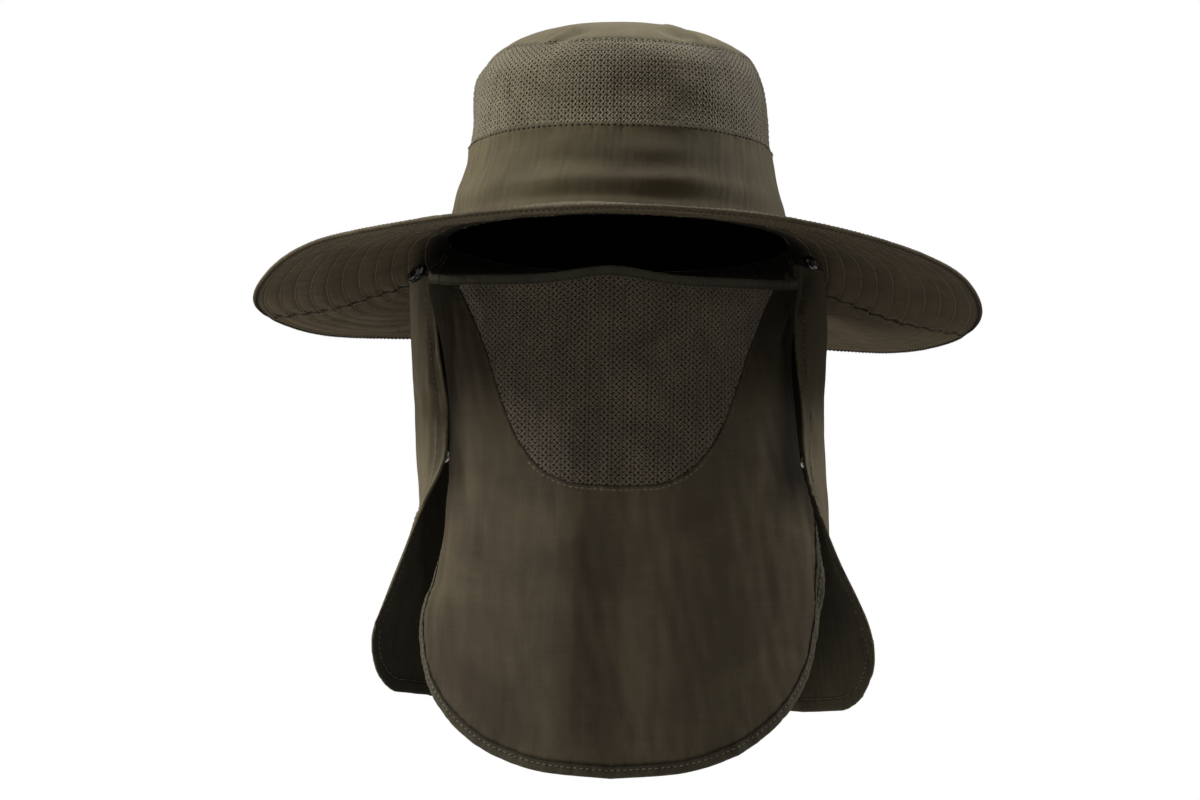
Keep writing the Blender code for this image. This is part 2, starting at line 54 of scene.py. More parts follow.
FOLD_DEPTH = 2 * MM
CLOTH_CREASE = math.radians(62)
NET_CREASE = math.radians(40)
Colour = tuple[float, float, float]
Rows = Sequence[Sequence[float]]
Inputs = dict[str | int, object]
log = logging.getLogger("flap sun hat")


class Face(Enum):
    """The side of a cloth that a row of stitches lies on."""

    OUTER = 1.0
    INNER = -1.0


StitchRow = tuple[np.ndarray, np.ndarray, Face]


class Table:
    """Rows of named columns, read smoothly between the rows along the first column."""

    def __init__(self, columns: Sequence[str], rows: Rows) -> None:
        """Keep each column with its slopes.

        Args:
            columns: The names, the first of them the key's.
            rows: The values, in rising order of the key.
        """
        data = np.array(rows, float)
        self.keys = data[:, 0]
        self.columns = {name: (data[:, i], self.slopes(self.keys, data[:, i]))
                        for i, name in enumerate(columns) if i}

    @staticmethod
    def slopes(keys: np.ndarray, values: np.ndarray) -> np.ndarray:
        """Slopes that keep the curve from passing beyond its rows.

        Args:
            keys: The rows' keys.
            values: One column.

        Returns:
            One slope a row.
        """
        steps = np.diff(keys)
        rises = np.diff(values) / steps
        result = np.zeros(len(keys))
        result[0] = rises[0]
        result[-1] = rises[-1]
        for i in range(1, len(keys) - 1):
            if rises[i - 1] * rises[i] > 0:
                weight = (steps[i - 1] + 2 * steps[i]) / (3 * (steps[i - 1] + steps[i]))
                result[i] = rises[i - 1] * rises[i] / (weight * rises[i] + (1 - weight) * rises[i - 1])
        return result

    def at(self, name: str, key: np.ndarray | float) -> np.ndarray:
        """One column's values.

        Args:
            name: The column.
            key: A key, or an array of keys.

        Returns:
            The column at each key.
        """
        values, slopes = self.columns[name]
        key = np.clip(np.asarray(key, float), self.keys[0], self.keys[-1])
        i = np.clip(np.searchsorted(self.keys, key) - 1, 0, len(self.keys) - 2)
        step = self.keys[i + 1] - self.keys[i]
        t = (key - self.keys[i]) / step
        return (values[i] * (1 + 2 * t) * (1 - t) ** 2 + slopes[i] * step * t * (1 - t) ** 2
                + values[i + 1] * t ** 2 * (3 - 2 * t) + slopes[i + 1] * step * t ** 2 * (t - 1))


# The crown by height: shares of its height, half width and half length, and how boxy its plan is
CROWN = Table(("height", "width", "length", "boxy"), (
    (0.000, 1.000, 1.000, 2.05),
    (0.140, 0.955, 0.965, 2.10),
    (0.345, 0.885, 0.905, 2.20),
    (0.440, 0.860, 0.880, 2.35),
    (0.545, 0.852, 0.865, 2.40),
    (0.705, 0.835, 0.838, 2.40),
    (0.780, 0.802, 0.800, 2.30),
    (0.830, 0.755, 0.745, 2.20),
    (0.875, 0.690, 0.675, 2.15),
    (0.915, 0.595, 0.585, 2.10),
    (0.950, 0.465, 0.460, 2.05),
    (0.982, 0.270, 0.270, 2.00),
    (1.000, 0.000, 0.000, 2.00),
))

# The brim by azimuth from the front: its edge's drop on the left and on the right, and how much it dips
BRIM_EDGE = Table(("azimuth", "left", "right", "dip"), (
    (0, 0.330, 0.330, 0.00),
    (25, 0.445, 0.405, 0.00),
    (40, 0.510, 0.530, 0.00),
    (55, 0.590, 0.640, 0.03),
    (68, 0.770, 0.770, 0.10),
    (78, 0.920, 0.940, 0.26),
    (90, 0.975, 1.030, 0.72),
    (105, 1.010, 1.130, 1.00),
    (120, 1.030, 1.140, 0.85),
    (132, 0.950, 1.060, 0.60),
    (145, 0.830, 0.900, 0.35),
    (162, 0.720, 0.760, 0.12),
    (180, 0.700, 0.700, 0.05),
))

# How the brim falls from its seam to its edge, as shares of the edge's drop: plain, and where it dips
BRIM_FALL = Table(("out", "plain", "dipped"), (
    (0.00, 0.000, 0.000),
    (0.10, 0.072, 0.330),
    (0.22, 0.180, 0.545),
    (0.40, 0.355, 0.700),
    (0.66, 0.625, 0.900),
    (1.00, 1.000, 1.000),
))

# The face panel's plan by depth, in shares of the flaps' half width
FACE = Table(("depth", "left", "right", "front", "widest", "taper", "boxy"), (
    (0.00, 0.935, 0.890, -1.180, -0.440, 0.18, 2.15),
    (0.15, 0.855, 0.865, -1.170, -0.500, 0.22, 2.15),
    (0.31, 0.810, 0.895, -1.150, -0.540, 0.25, 2.20),
    (0.42, 0.810, 0.938, -1.130, -0.540, 0.22, 2.20),
    (0.50, 0.820, 0.965, -1.120, -0.520, 0.16, 2.20),
    (0.60, 0.870, 1.010, -1.100, -0.480, 0.08, 2.15),
    (0.68, 0.950, 1.045, -1.090, -0.430, 0.02, 2.10),
    (0.80, 0.985, 1.085, -1.080, -0.380, 0.00, 2.05),
    (1.00, 1.000, 1.100, -1.050, -0.340, 0.00, 2.05),
))

# The bound edge of the face panel along its path from the bottom: shares of half the top and of the length
FACE_OUTER = Table(("path", "across", "down"), (
    (0.00, 0.000, 1.000),
    (0.10, 0.205, 0.990),
    (0.20, 0.395, 0.958),
    (0.29, 0.570, 0.895),
    (0.37, 0.690, 0.820),
    (0.45, 0.760, 0.730),
    (0.56, 0.810, 0.590),
    (0.70, 0.870, 0.400),
    (0.85, 0.945, 0.190),
    (1.00, 1.000, 0.000),
))

# The edge of its net insert, in the same shares
FACE_INNER = Table(("path", "across", "down"), (
    (0.00, 0.000, 0.422),
    (0.14, 0.120, 0.419),
    (0.27, 0.222, 0.396),
    (0.40, 0.305, 0.345),
    (0.50, 0.354, 0.292),
    (0.62, 0.400, 0.222),
    (0.76, 0.450, 0.138),
    (0.90, 0.515, 0.055),
    (1.00, 0.575, 0.000),
))

# The neck flap's plan by depth: its front edge, cheek and side on the left
NECK_LEFT = Table(("depth", "front_x", "front_y", "cheek_x", "cheek_y", "side_x", "side_y"), (
    (0.00, 0.945, -0.310, 1.030, -0.170, 1.060, 0.220),
    (0.17, 0.913, -0.310, 1.010, -0.170, 1.045, 0.240),
    (0.28, 0.880, -0.320, 0.985, -0.180, 1.025, 0.260),
    (0.38, 0.846, -0.330, 0.960, -0.190, 1.010, 0.260),
    (0.46, 0.845, -0.340, 0.950, -0.200, 1.000, 0.260),
    (0.51, 0.880, -0.340, 0.950, -0.180, 0.990, 0.260),
    (0.56, 0.940, -0.340, 0.970, -0.140, 0.985, 0.240),
    (0.69, 1.060, -0.360, 1.025, -0.130, 0.990, 0.200),
    (0.77, 1.128, -0.380, 1.065, -0.140, 1.005, 0.200),
    (0.84, 1.185, -0.400, 1.100, -0.150, 1.020, 0.200),
    (1.00, 1.240, -0.420, 1.140, -0.160, 1.040, 0.180),
))

# The same on the right
NECK_RIGHT = Table(("depth", "front_x", "front_y", "cheek_x", "cheek_y", "side_x", "side_y"), (
    (0.00, 0.880, -0.310, 0.995, -0.180, 1.050, 0.220),
    (0.17, 0.884, -0.310, 1.010, -0.180, 1.065, 0.240),
    (0.28, 0.907, -0.320, 1.015, -0.180, 1.060, 0.260),
    (0.38, 0.938, -0.330, 1.020, -0.180, 1.055, 0.260),
    (0.47, 0.954, -0.340, 1.025, -0.170, 1.055, 0.260),
    (0.55, 1.005, -0.340, 1.040, -0.150, 1.065, 0.240),
    (0.61, 1.059, -0.350, 1.060, -0.140, 1.065, 0.220),
    (0.69, 1.132, -0.360, 1.095, -0.130, 1.070, 0.200),
    (0.77, 1.215, -0.380, 1.145, -0.140, 1.085, 0.200),
    (0.85, 1.278, -0.400, 1.185, -0.150, 1.105, 0.200),
    (1.00, 1.320, -0.420, 1.220, -0.160, 1.120, 0.180),
))

# The neck flap's rear by depth
NECK_BACK = Table(("depth", "rear_x", "rear_y", "back_y"), (
    (0.00, 0.840, 0.770, 1.070),
    (0.35, 0.840, 0.790, 1.090),
    (0.66, 0.840, 0.780, 1.080),
    (1.00, 0.840, 0.760, 1.040),
))

# How low the neck flap's top edge lies from the back to its front edge, in shares of its length
NECK_TOP = Table(("around", "left", "right"), (
    (0.00, 0.015, 0.015),
    (0.55, 0.034, 0.034),
    (0.72, 0.064, 0.049),
    (0.86, 0.086, 0.060),
    (0.94, 0.094, 0.064),
    (1.00, 0.097, 0.061),
))

# Soft folds of the face panel: across, down, wide and long in shares, and how far out in fold depths
FACE_FOLDS = (
    (-0.160, 0.686, 0.113, 0.347, 1.30),
    (0.047, 0.653, 0.087, 0.367, -1.00),
    (0.347, 0.755, 0.133, 0.286, 0.80),
    (-0.480, 0.510, 0.087, 0.245, 0.70),
    (-0.080, 0.230, 0.053, 0.170, -0.80),
    (0.085, 0.235, 0.060, 0.160, 1.00),
    (0.240, 0.269, 0.087, 0.163, 0.40),
    (0.587, 0.171, 0.053, 0.131, 0.90),
)

# Soft folds of the neck flap: around, low, wide and long in shares, and how far out in fold depths
NECK_FOLDS = (
    (-0.62, 0.644, 0.07, 0.386, 1.50),
    (-0.40, 0.730, 0.08, 0.386, -1.50),
    (-0.18, 0.815, 0.08, 0.429, 2.00),
    (0.06, 0.858, 0.08, 0.429, -1.50),
    (0.28, 0.773, 0.08, 0.429, 2.00),
    (0.48, 0.730, 0.07, 0.386, -1.50),
    (0.66, 0.644, 0.07, 0.386, 1.50),
)

# Soft creases of the crown's plain band: azimuth, height, wide and high, and how far out in fold depths
BAND_FOLDS = (
    (0, 0.158, 48, 0.034, 0.90),
    (0, 0.076, 52, 0.034, -0.80),
    (-14, 0.245, 30, 0.040, -0.45),
    (22, 0.290, 26, 0.045, 0.40),
    (150, 0.273, 40, 0.045, -0.60),
    (-140, 0.200, 35, 0.055, 0.60),
)

# Pleats of the crown's tip as the front is seen, in millimetres across and up: both ends, width, out
TIP_PLEATS = (
    (-41, 91, -24, 101, 1.8, -1.7),
    (-37, 90, -20, 99, 1.7, 1.5),
    (-31, 90, -14, 97, 1.6, -1.3),
    (16, 99, 34, 92, 1.8, -1.4),
    (20, 102, 39, 94, 1.8, 1.5),
    (26, 104, 44, 95, 1.7, -1.5),
)

# Creases of the neck flap's front strips in millimetres: around and up at both ends, width, out
NECK_CREASES = (
    (286, -14, 296, -40, 3.6, -1.7),
    (297, -16, 290, -44, 3.0, 1.3),
    (292, -84, 284, -99, 3.0, 1.4),
    (288, -110, 291, -170, 2.4, 0.8),
    (-293, -58, -285, -82, 4.0, 1.6),
    (-297, -48, -290, -72, 3.0, -1.3),
    (-290, -90, -292, -160, 2.4, 0.9),
    (-285, -96, -286, -170, 2.2, -0.7),
    (288, -176, 284, -206, 3.4, 1.4),
    (280, -180, 279, -214, 4.0, -1.0),
)

# Finer creases of the face panel laid flat, in millimetres: across and down at both ends, width, out
FACE_CREASES = (
    (-10, 20, -9, 66, 5.0, -1.2),
    (12, 30, 11, 68, 6.0, 1.1),
    (-9, 62, 17, 96, 4.5, 1.1),
    (2, 90, 16, 100, 6.0, -1.1),
    (-30, 74, -20, 97, 5.0, 0.9),
    (-24, 10, -34, 60, 9.0, 0.6),
    (-20, 108, -24, 232, 13.0, 1.0),
    (-5, 118, -2, 226, 12.0, -0.9),
    (99, 14, 88, 32, 2.6, 1.1),
    (104, 16, 93, 36, 3.0, -0.9),
    (121, 100, 118, 176, 2.8, 2.0),
    (114, 104, 111, 170, 4.0, -1.4),
    (-101, 100, -104, 178, 2.8, 1.5),
    (-108, 104, -110, 176, 4.0, -1.2),
    (-96, 92, -84, 140, 6.0, 0.8),
    (-88, 88, -74, 132, 6.0, -0.7),
    (52, 120, 70, 190, 10.0, 0.7),
    (34, 60, 46, 84, 6.0, 0.6),
    (-50, 30, -42, 66, 6.0, -0.5),
    (60, 10, 54, 44, 5.0, -0.5),
)


def oval(half_width: np.ndarray, half_length: np.ndarray, boxy: np.ndarray | float,
         azimuth: np.ndarray) -> tuple[np.ndarray, np.ndarray]:
    """Points of an oval plan.

    Args:
        half_width: Half its width.
        half_length: Half its length.
        boxy: Two for an ellipse, more for fuller corners.
        azimuth: The way from the middle, in radians from the front to the right.

    Returns:
        The places along X and along Y.
    """
    s = np.sin(azimuth)
    c = np.cos(azimuth)
    reach = 1.0 / (np.abs(s) ** boxy + np.abs(c) ** boxy) ** (1.0 / boxy)
    return half_width * reach * s, -half_length * reach * c


def swell(rows: Rows, u: np.ndarray, v: np.ndarray) -> np.ndarray:
    """How far the soft folds of a list stand out.

    Args:
        rows: Where each fold lies, its reach either way, and its depth in fold depths.
        u: The first coordinate.
        v: The second coordinate.

    Returns:
        The distance in metres.
    """
    total = np.zeros(np.broadcast(u, v).shape)
    for at_u, at_v, wide, high, out in rows:
        total = total + out * FOLD_DEPTH * np.exp(-((u - at_u) / wide) ** 2 - ((v - at_v) / high) ** 2)
    return total


def creased(rows: Rows, u: np.ndarray, v: np.ndarray) -> np.ndarray:
    """How far the creases of a list stand out, each along a line and dying away at its ends.

    Args:
        rows: Both ends of each crease, its width and its height, in millimetres.
        u: The first coordinate in metres.
        v: The second coordinate in metres.

    Returns:
        The distance in metres.
    """
    total = np.zeros(np.broadcast(u, v).shape)
    for u0, v0, u1, v1, wide, out in rows:
        du, dv = u1 - u0, v1 - v0
        along = ((u / MM - u0) * du + (v / MM - v0) * dv) / (du * du + dv * dv)
        near = np.clip(along, 0, 1)
        off = np.hypot(u / MM - u0 - near * du, v / MM - v0 - near * dv)
        fade = np.clip(1.15 - np.abs(2 * near - 1) ** 3, 0.0, 1.0)
        total = total + out * MM * np.exp(-(off / wide) ** 2) * fade
    return total


@dataclass(frozen=True)
class Waves:
    """Irregular waves, the same on each run, sized in millimetres."""

    out: float
    wave_u: float
    wave_v: float
    seed: int

    COUNT = 9

    def at(self, u: np.ndarray, v: np.ndarray) -> np.ndarray:
        """How far the waves stand out.

        Args:
            u: The first coordinate in metres.
            v: The second coordinate in metres.

        Returns:
            The distance in metres, either way.
        """
        wave_u, wave_v = self.wave_u * MM, self.wave_v * MM
        chance = np.random.default_rng(self.seed)
        total = np.zeros(np.broadcast(u, v).shape)
        for _ in range(self.COUNT):
            a, b = chance.normal(0, 1, 2)
            phase, pull = chance.uniform(0, 2 * math.pi, 2)
            bend = 0.8 * np.sin(v / wave_v * 2.3 + pull)
            total = total + np.sin(2 * math.pi * (a * u / wave_u + b * v / wave_v) + phase + bend)
        return self.out * MM * (total * math.sqrt(2 / self.COUNT))


def bell(value: np.ndarray, middle: float, reach: float) -> np.ndarray:
    """One at the middle, dying away on both sides of it."""
    return np.exp(-((value - middle) / reach) ** 2)


def turned_degrees(azimuth: np.ndarray, shift: float = 0.0) -> np.ndarray:
    """An azimuth in degrees, less than half a turn either way from the front."""
    return (np.degrees(azimuth) + shift + 180) % 360 - 180


def near_edge(distance: np.ndarray, reach: float) -> np.ndarray:
    """One at an edge, falling smoothly to nothing at a reach from it."""
    share = np.clip(1 - distance / reach, 0, 1)
    return share * share * (3 - 2 * share)


def near_line(value: np.ndarray, line: float, reach: float) -> np.ndarray:
    """One on a line, falling smoothly to nothing at a reach on both sides of it."""
    return near_edge(np.abs(value - line), reach)


def rolled(distance: np.ndarray, wall: float) -> np.ndarray:
    """The wall by the distance from a free edge, which is rounded.

    Args:
        distance: How far in from the edge.
        wall: The full wall.

    Returns:
        The wall at each place.
    """
    share = np.clip(distance / (0.6 * wall), 0, 1)
    return wall * np.sqrt(np.clip(1 - (1 - share) ** 2, 0.04, 1))


def edge_steps(count: int, length: float, wall: float) -> np.ndarray:
    """Places from a free edge inwards, close together where the edge is rounded.

    Args:
        count: How many even steps follow.
        length: The whole length.
        wall: The wall, which sets how close the first ones are.

    Returns:
        Rising distances that start at the edge.
    """
    first = np.array([0.0, 0.06, 0.2, 0.42]) * wall
    return np.append(first, np.linspace(0.75 * wall, length, count))


def placed(name: str, data: bpy.types.ID) -> bpy.types.Object:
    """A new object of some data, in the scene."""
    result = bpy.data.objects.new(name, data)
    bpy.context.scene.collection.objects.link(result)
    return result


class Cloth:
    """Shells of cloth from grids of points on their middle surface."""

    @staticmethod
    def normals(grid: np.ndarray, around: bool) -> np.ndarray:
        """The way that each point of a grid faces.

        Args:
            grid: Points, in rows and columns.
            around: Whether the last column lies on the first.

        Returns:
            One unit vector a point.
        """
        wide = grid
        if around:
            wide = np.concatenate([grid[:, -2:-1], grid, grid[:, 1:2]], axis=1)
        along = np.gradient(wide, axis=1)
        down = np.gradient(wide, axis=0)
        facing = np.cross(along, down)
        if around:
            facing = facing[:, 1:-1]
        size = np.linalg.norm(facing, axis=2, keepdims=True)
        flat = size[..., 0] < 1e-14
        facing = facing / np.maximum(size, 1e-14)
        if flat.any():
            facing[flat] = np.sign(facing[~flat][:, 2].mean()) * np.array([0.0, 0.0, 1.0])
        return facing

    @staticmethod
    def shell(name: str, grid: np.ndarray, wall: np.ndarray | float, flat: np.ndarray,
              paints: Sequence[bpy.types.Material], seam: np.ndarray, groove_and_shade: np.ndarray,
              around: bool = False, facing: np.ndarray | None = None) -> bpy.types.Object:
        """A closed shell of cloth.

        Args:
            name: The piece's name.
            grid: Its middle surface.
            wall: Its wall, or one wall a point.
            flat: Each point's place on the cloth laid flat, in metres.
            paints: The outer face's material, and the inner one's if it differs.
            seam: How near each point is to a seam or hem, from 0 to 1.
            groove_and_shade: How much painted shade darkens each point, along its sewn lines and where
                other parts shade it, from 0 to 1.
            around: Whether the last column lies on the first.
            facing: The ways that the points face, where they are known.

        Returns:
            The piece, at the origin.
        """
        rows, columns = grid.shape[:2]
        if facing is None:
            facing = Cloth.normals(grid, around)
        half = np.broadcast_to(np.asarray(wall, float), (rows, columns))[..., None] / 2
        faces = (grid + facing * half, grid - facing * half)
        points = np.concatenate([face.reshape(-1, 3) for face in faces])
        index = np.arange(rows * columns).reshape(rows, columns)
        corners = [index[:-1, :-1], index[:-1, 1:], index[1:, 1:], index[1:, :-1]]
        outer = np.stack(corners, axis=2).reshape(-1, 4)
        inner = outer[:, ::-1] + rows * columns
        rims = [(index[0], False), (index[-1], True)]
        if not around:
            rims += [(index[:, 0], True), (index[:, -1], False)]
        rim = []
        for line, turned in rims:
            a, b = line[:-1], line[1:]
            quad = np.stack([b, a, a + rows * columns, b + rows * columns], axis=1)
            rim.append(quad[:, ::-1] if turned else quad)
        quads = np.concatenate([outer, inner] + rim)
        mesh = bpy.data.meshes.new(name)
        mesh.from_pydata(points.tolist(), [], quads.tolist())
        loops = np.empty(len(mesh.loops), np.int32)
        mesh.loops.foreach_get("vertex_index", loops)
        places = np.concatenate([flat.reshape(-1, 2)] * 2)
        layer = mesh.uv_layers.new(name="flat")
        layer.data.foreach_set("uv", places[loops].astype(np.float32).ravel())
        for title, values in (("seam", seam), ("groove_and_shade", groove_and_shade)):
            near = np.broadcast_to(values, (rows, columns))
            mask = mesh.attributes.new(title, "FLOAT", "POINT")
            mask.data.foreach_set("value", np.concatenate([near.ravel()] * 2).astype(np.float32))
        if len(paints) > 1:
            slots = np.zeros(len(quads), np.int32)
            slots[len(outer):len(outer) + len(inner)] = 1
            mesh.polygons.foreach_set("material_index", slots)
        return Cloth.closed(name, mesh, paints)

    @staticmethod
    def closed(name: str, mesh: bpy.types.Mesh, paints: Sequence[bpy.types.Material]) -> bpy.types.Object:
        """An object of a mesh, its doubles merged, its faces outwards and its soft edges smooth.

        Args:
            name: The piece's name.
            mesh: The mesh, already thick.
            paints: Its materials.

        Returns:
            The object, at the origin.
        """
        work = bmesh.new()
        work.from_mesh(mesh)
        bmesh.ops.remove_doubles(work, verts=work.verts, dist=1e-6)
        bmesh.ops.recalc_face_normals(work, faces=work.faces)
        work.to_mesh(mesh)
        work.free()
        mesh.polygons.foreach_set("use_smooth", np.ones(len(mesh.polygons), bool))
        mesh.set_sharp_from_angle(angle=CLOTH_CREASE)
        for paint in paints:
            mesh.materials.append(paint)
        return placed(name, mesh)


class Graph:
    """A node tree with short calls that add nodes and join them."""

    def __init__(self, tree: bpy.types.NodeTree) -> None:
        """Keep the tree that the calls work on."""
        self.tree = tree

    def fill(self, node: bpy.types.Node, inputs: Inputs) -> bpy.types.Node:
        """Join sockets to a node's inputs, or set the inputs' own values.

        Args:
            node: The node.
            inputs: Sockets and values, by the input's name or number.

        Returns:
            The same node.
        """
        for key, value in inputs.items():
            if isinstance(value, bpy.types.NodeSocket):
                self.tree.links.new(value, node.inputs[key])
            else:
                node.inputs[key].default_value = value
        return node

    def add(self, kind: str, inputs: Inputs | None = None, **settings: object) -> bpy.types.Node:
        """Add a node, with its options set and its inputs filled.

        Args:
            kind: The node's type.
            inputs: Its inputs.
            settings: Its options.

        Returns:
            The node.
        """
        node = self.tree.nodes.new(kind)
        for name, value in settings.items():
            setattr(node, name, value)
        return self.fill(node, inputs or {})

    def step(self, kind: str, inputs: Inputs | None = None, **settings: object) -> bpy.types.NodeSocket:
        """Add a node and give its first output."""
        return self.add(kind, inputs, **settings).outputs[0]

    def math(self, operation: str, *values: object) -> bpy.types.NodeSocket:
        """One arithmetic step."""
        return self.step("ShaderNodeMath", dict(enumerate(values)), operation=operation)

    def vector(self, operation: str, first: object, second: object) -> bpy.types.NodeSocket:
        """One vector step, the second value a vector or, for a scale, a number."""
        key = "Scale" if operation == "SCALE" else 1
        return self.step("ShaderNodeVectorMath", {0: first, key: second}, operation=operation)

    def parts(self, vector: object) -> bpy.types.NodeOutputs:
        """The three numbers of a vector."""
        return self.add("ShaderNodeSeparateXYZ", {0: vector}).outputs

    def noise(self, place: object, scale: object, detail: float = 3.0, bend: float = 0.0
              ) -> bpy.types.NodeSocket:
        """Smooth noise from 0 to 1."""
        inputs = {"Vector": place, "Scale": scale, "Detail": detail, "Distortion": bend}
        return self.add("ShaderNodeTexNoise", inputs, noise_dimensions="3D").outputs["Fac"]

    def span(self, value: object, low: float, high: float, least: float = 0.0, most: float = 1.0
             ) -> bpy.types.NodeSocket:
        """A value's range mapped to another and held within it."""
        return self.step("ShaderNodeMapRange", dict(enumerate((value, low, high, least, most))), clamp=True)

    def blend(self, share: object, first: object, second: object) -> bpy.types.NodeSocket:
        """A mix of two colours."""
        return self.add("ShaderNodeMix", {0: share, 6: first, 7: second}, data_type="RGBA").outputs[2]

    def bump(self, height: object, strength: float, distance: float) -> bpy.types.NodeSocket:
        """The normals that a height gives."""
        return self.step("ShaderNodeBump", {"Height": height, "Strength": strength, "Distance": distance})

    @classmethod
    def group(cls, name: str, kind: str, inputs: dict[str, str], outputs: dict[str, str]
              ) -> tuple["Graph", bpy.types.NodeOutputs, bpy.types.Node]:
        """A new node group.

        Args:
            name: Its name.
            kind: ShaderNodeTree or GeometryNodeTree.
            inputs: Socket names with the ends of their types' names.
            outputs: The same for the outputs.

        Returns:
            The graph, what the group is given, and its output node.
        """
        tree = bpy.data.node_groups.new(name, kind)
        for way, sockets in (("INPUT", inputs), ("OUTPUT", outputs)):
            for socket, ends in sockets.items():
                tree.interface.new_socket(name=socket, in_out=way, socket_type="NodeSocket" + ends)
        graph = cls(tree)
        return graph, graph.add("NodeGroupInput").outputs, graph.add("NodeGroupOutput")

    def use(self, tree: bpy.types.NodeTree, **values: object) -> bpy.types.NodeOutputs:
        """Place a shader group with its inputs set, and give its outputs."""
        return self.add("ShaderNodeGroup", values, node_tree=tree).outputs


class Effects:
    """The shader groups that several finishes share, each built once."""

    def __init__(self) -> None:
        """Build every group."""
        self.weave = self.make_weave()
        self.crinkle = self.make_crinkle()
        self.dye = self.make_dye()
        self.wear = self.make_wear()

    @staticmethod
    def make_weave() -> bpy.types.NodeTree:
        """A plain weave with uneven threads, from the place on the flat cloth."""
        graph, given, result = Graph.group(
            "plain weave", "ShaderNodeTree", {"Flat": "Vector", "Threads": "Float"},
            {"Height": "Float", "Streaks": "Float"})
        place = graph.vector("SCALE", given["Flat"], given["Threads"])
        over = graph.add("ShaderNodeTexChecker", {"Vector": place, "Scale": 1.0}).outputs["Fac"]
        warp, weft = [graph.math("ABSOLUTE", graph.math("SINE", graph.math("MULTIPLY", part, math.pi)))
                      for part in graph.parts(place)[:2]]
        top = graph.math("MULTIPLY", warp, over)
        low = graph.math("MULTIPLY", weft, graph.math("SUBTRACT", 1.0, over))
        along_warp, along_weft = (34.0, 700.0, 1.0), (620.0, 26.0, 1.0)
        streaks = [graph.noise(graph.vector("MULTIPLY", given["Flat"], stretch), 1.0, 2.0)
                   for stretch in (along_warp, along_weft)]
        graph.fill(result, {"Height": graph.math("ADD", top, low),
                            "Streaks": graph.math("MULTIPLY", graph.math("ADD", *streaks), 0.5)})
        return graph.tree

    @staticmethod
    def make_crinkle() -> bpy.types.NodeTree:
        """The small dry creases of a thin coated cloth."""
        graph, given, result = Graph.group(
            "dry crinkle", "ShaderNodeTree", {"Place": "Vector", "Size": "Float"}, {"Height": "Float"})
        broad, fine = [graph.noise(given["Place"], graph.math("DIVIDE", share, given["Size"]), detail, bend)
                       for share, detail, bend in ((0.35, 3.0, 0.8), (1.3, 4.0, 1.6))]
        ridge = graph.math("SUBTRACT", 1.0, graph.math("ABSOLUTE", graph.math("SUBTRACT", fine, 0.5)))
        graph.fill(result, {"Height": graph.math("ADD", graph.math("MULTIPLY", broad, 1.6), ridge)})
        return graph.tree

    @staticmethod
    def make_dye() -> bpy.types.NodeTree:
        """Uneven dye: soft patches of a second colour."""
        graph, given, result = Graph.group(
            "uneven dye", "ShaderNodeTree",
            {"Place": "Vector", "Colour": "Color", "Second": "Color", "Patch": "Float", "Amount": "Float"},
            {"Colour": "Color"})
        broad = graph.noise(given["Place"], graph.math("DIVIDE", 1.0, given["Patch"]), 4.0, 0.6)
        share = graph.math("MULTIPLY", graph.span(broad, 0.38, 0.66), given["Amount"])
        graph.fill(result, {"Colour": graph.blend(share, given["Colour"], given["Second"])})
        return graph.tree

    @staticmethod
    def make_wear() -> bpy.types.NodeTree:
        """Rubbing along seams and hems: the colour lightened by a mask that noise breaks up."""
        graph, given, result = Graph.group(
            "seam wear", "ShaderNodeTree",
            {"Place": "Vector", "Colour": "Color", "Near": "Float", "Amount": "Float"}, {"Colour": "Color"})
        broken = graph.span(graph.noise(given["Place"], 420.0, 3.0), 0.42, 0.72)
        mask = graph.math("MULTIPLY", graph.math("MULTIPLY", broken, given["Near"]), given["Amount"])
        light = graph.vector("SCALE", given["Colour"], 2.1)
        graph.fill(result, {"Colour": graph.blend(mask, given["Colour"], light)})
        return graph.tree


def new_material(name: str) -> tuple[bpy.types.Material, Graph, bpy.types.Node]:
    """A material with its graph and its Principled node."""
    paint = bpy.data.materials.new(name)
    paint.use_nodes = True
    return paint, Graph(paint.node_tree), paint.node_tree.nodes["Principled BSDF"]


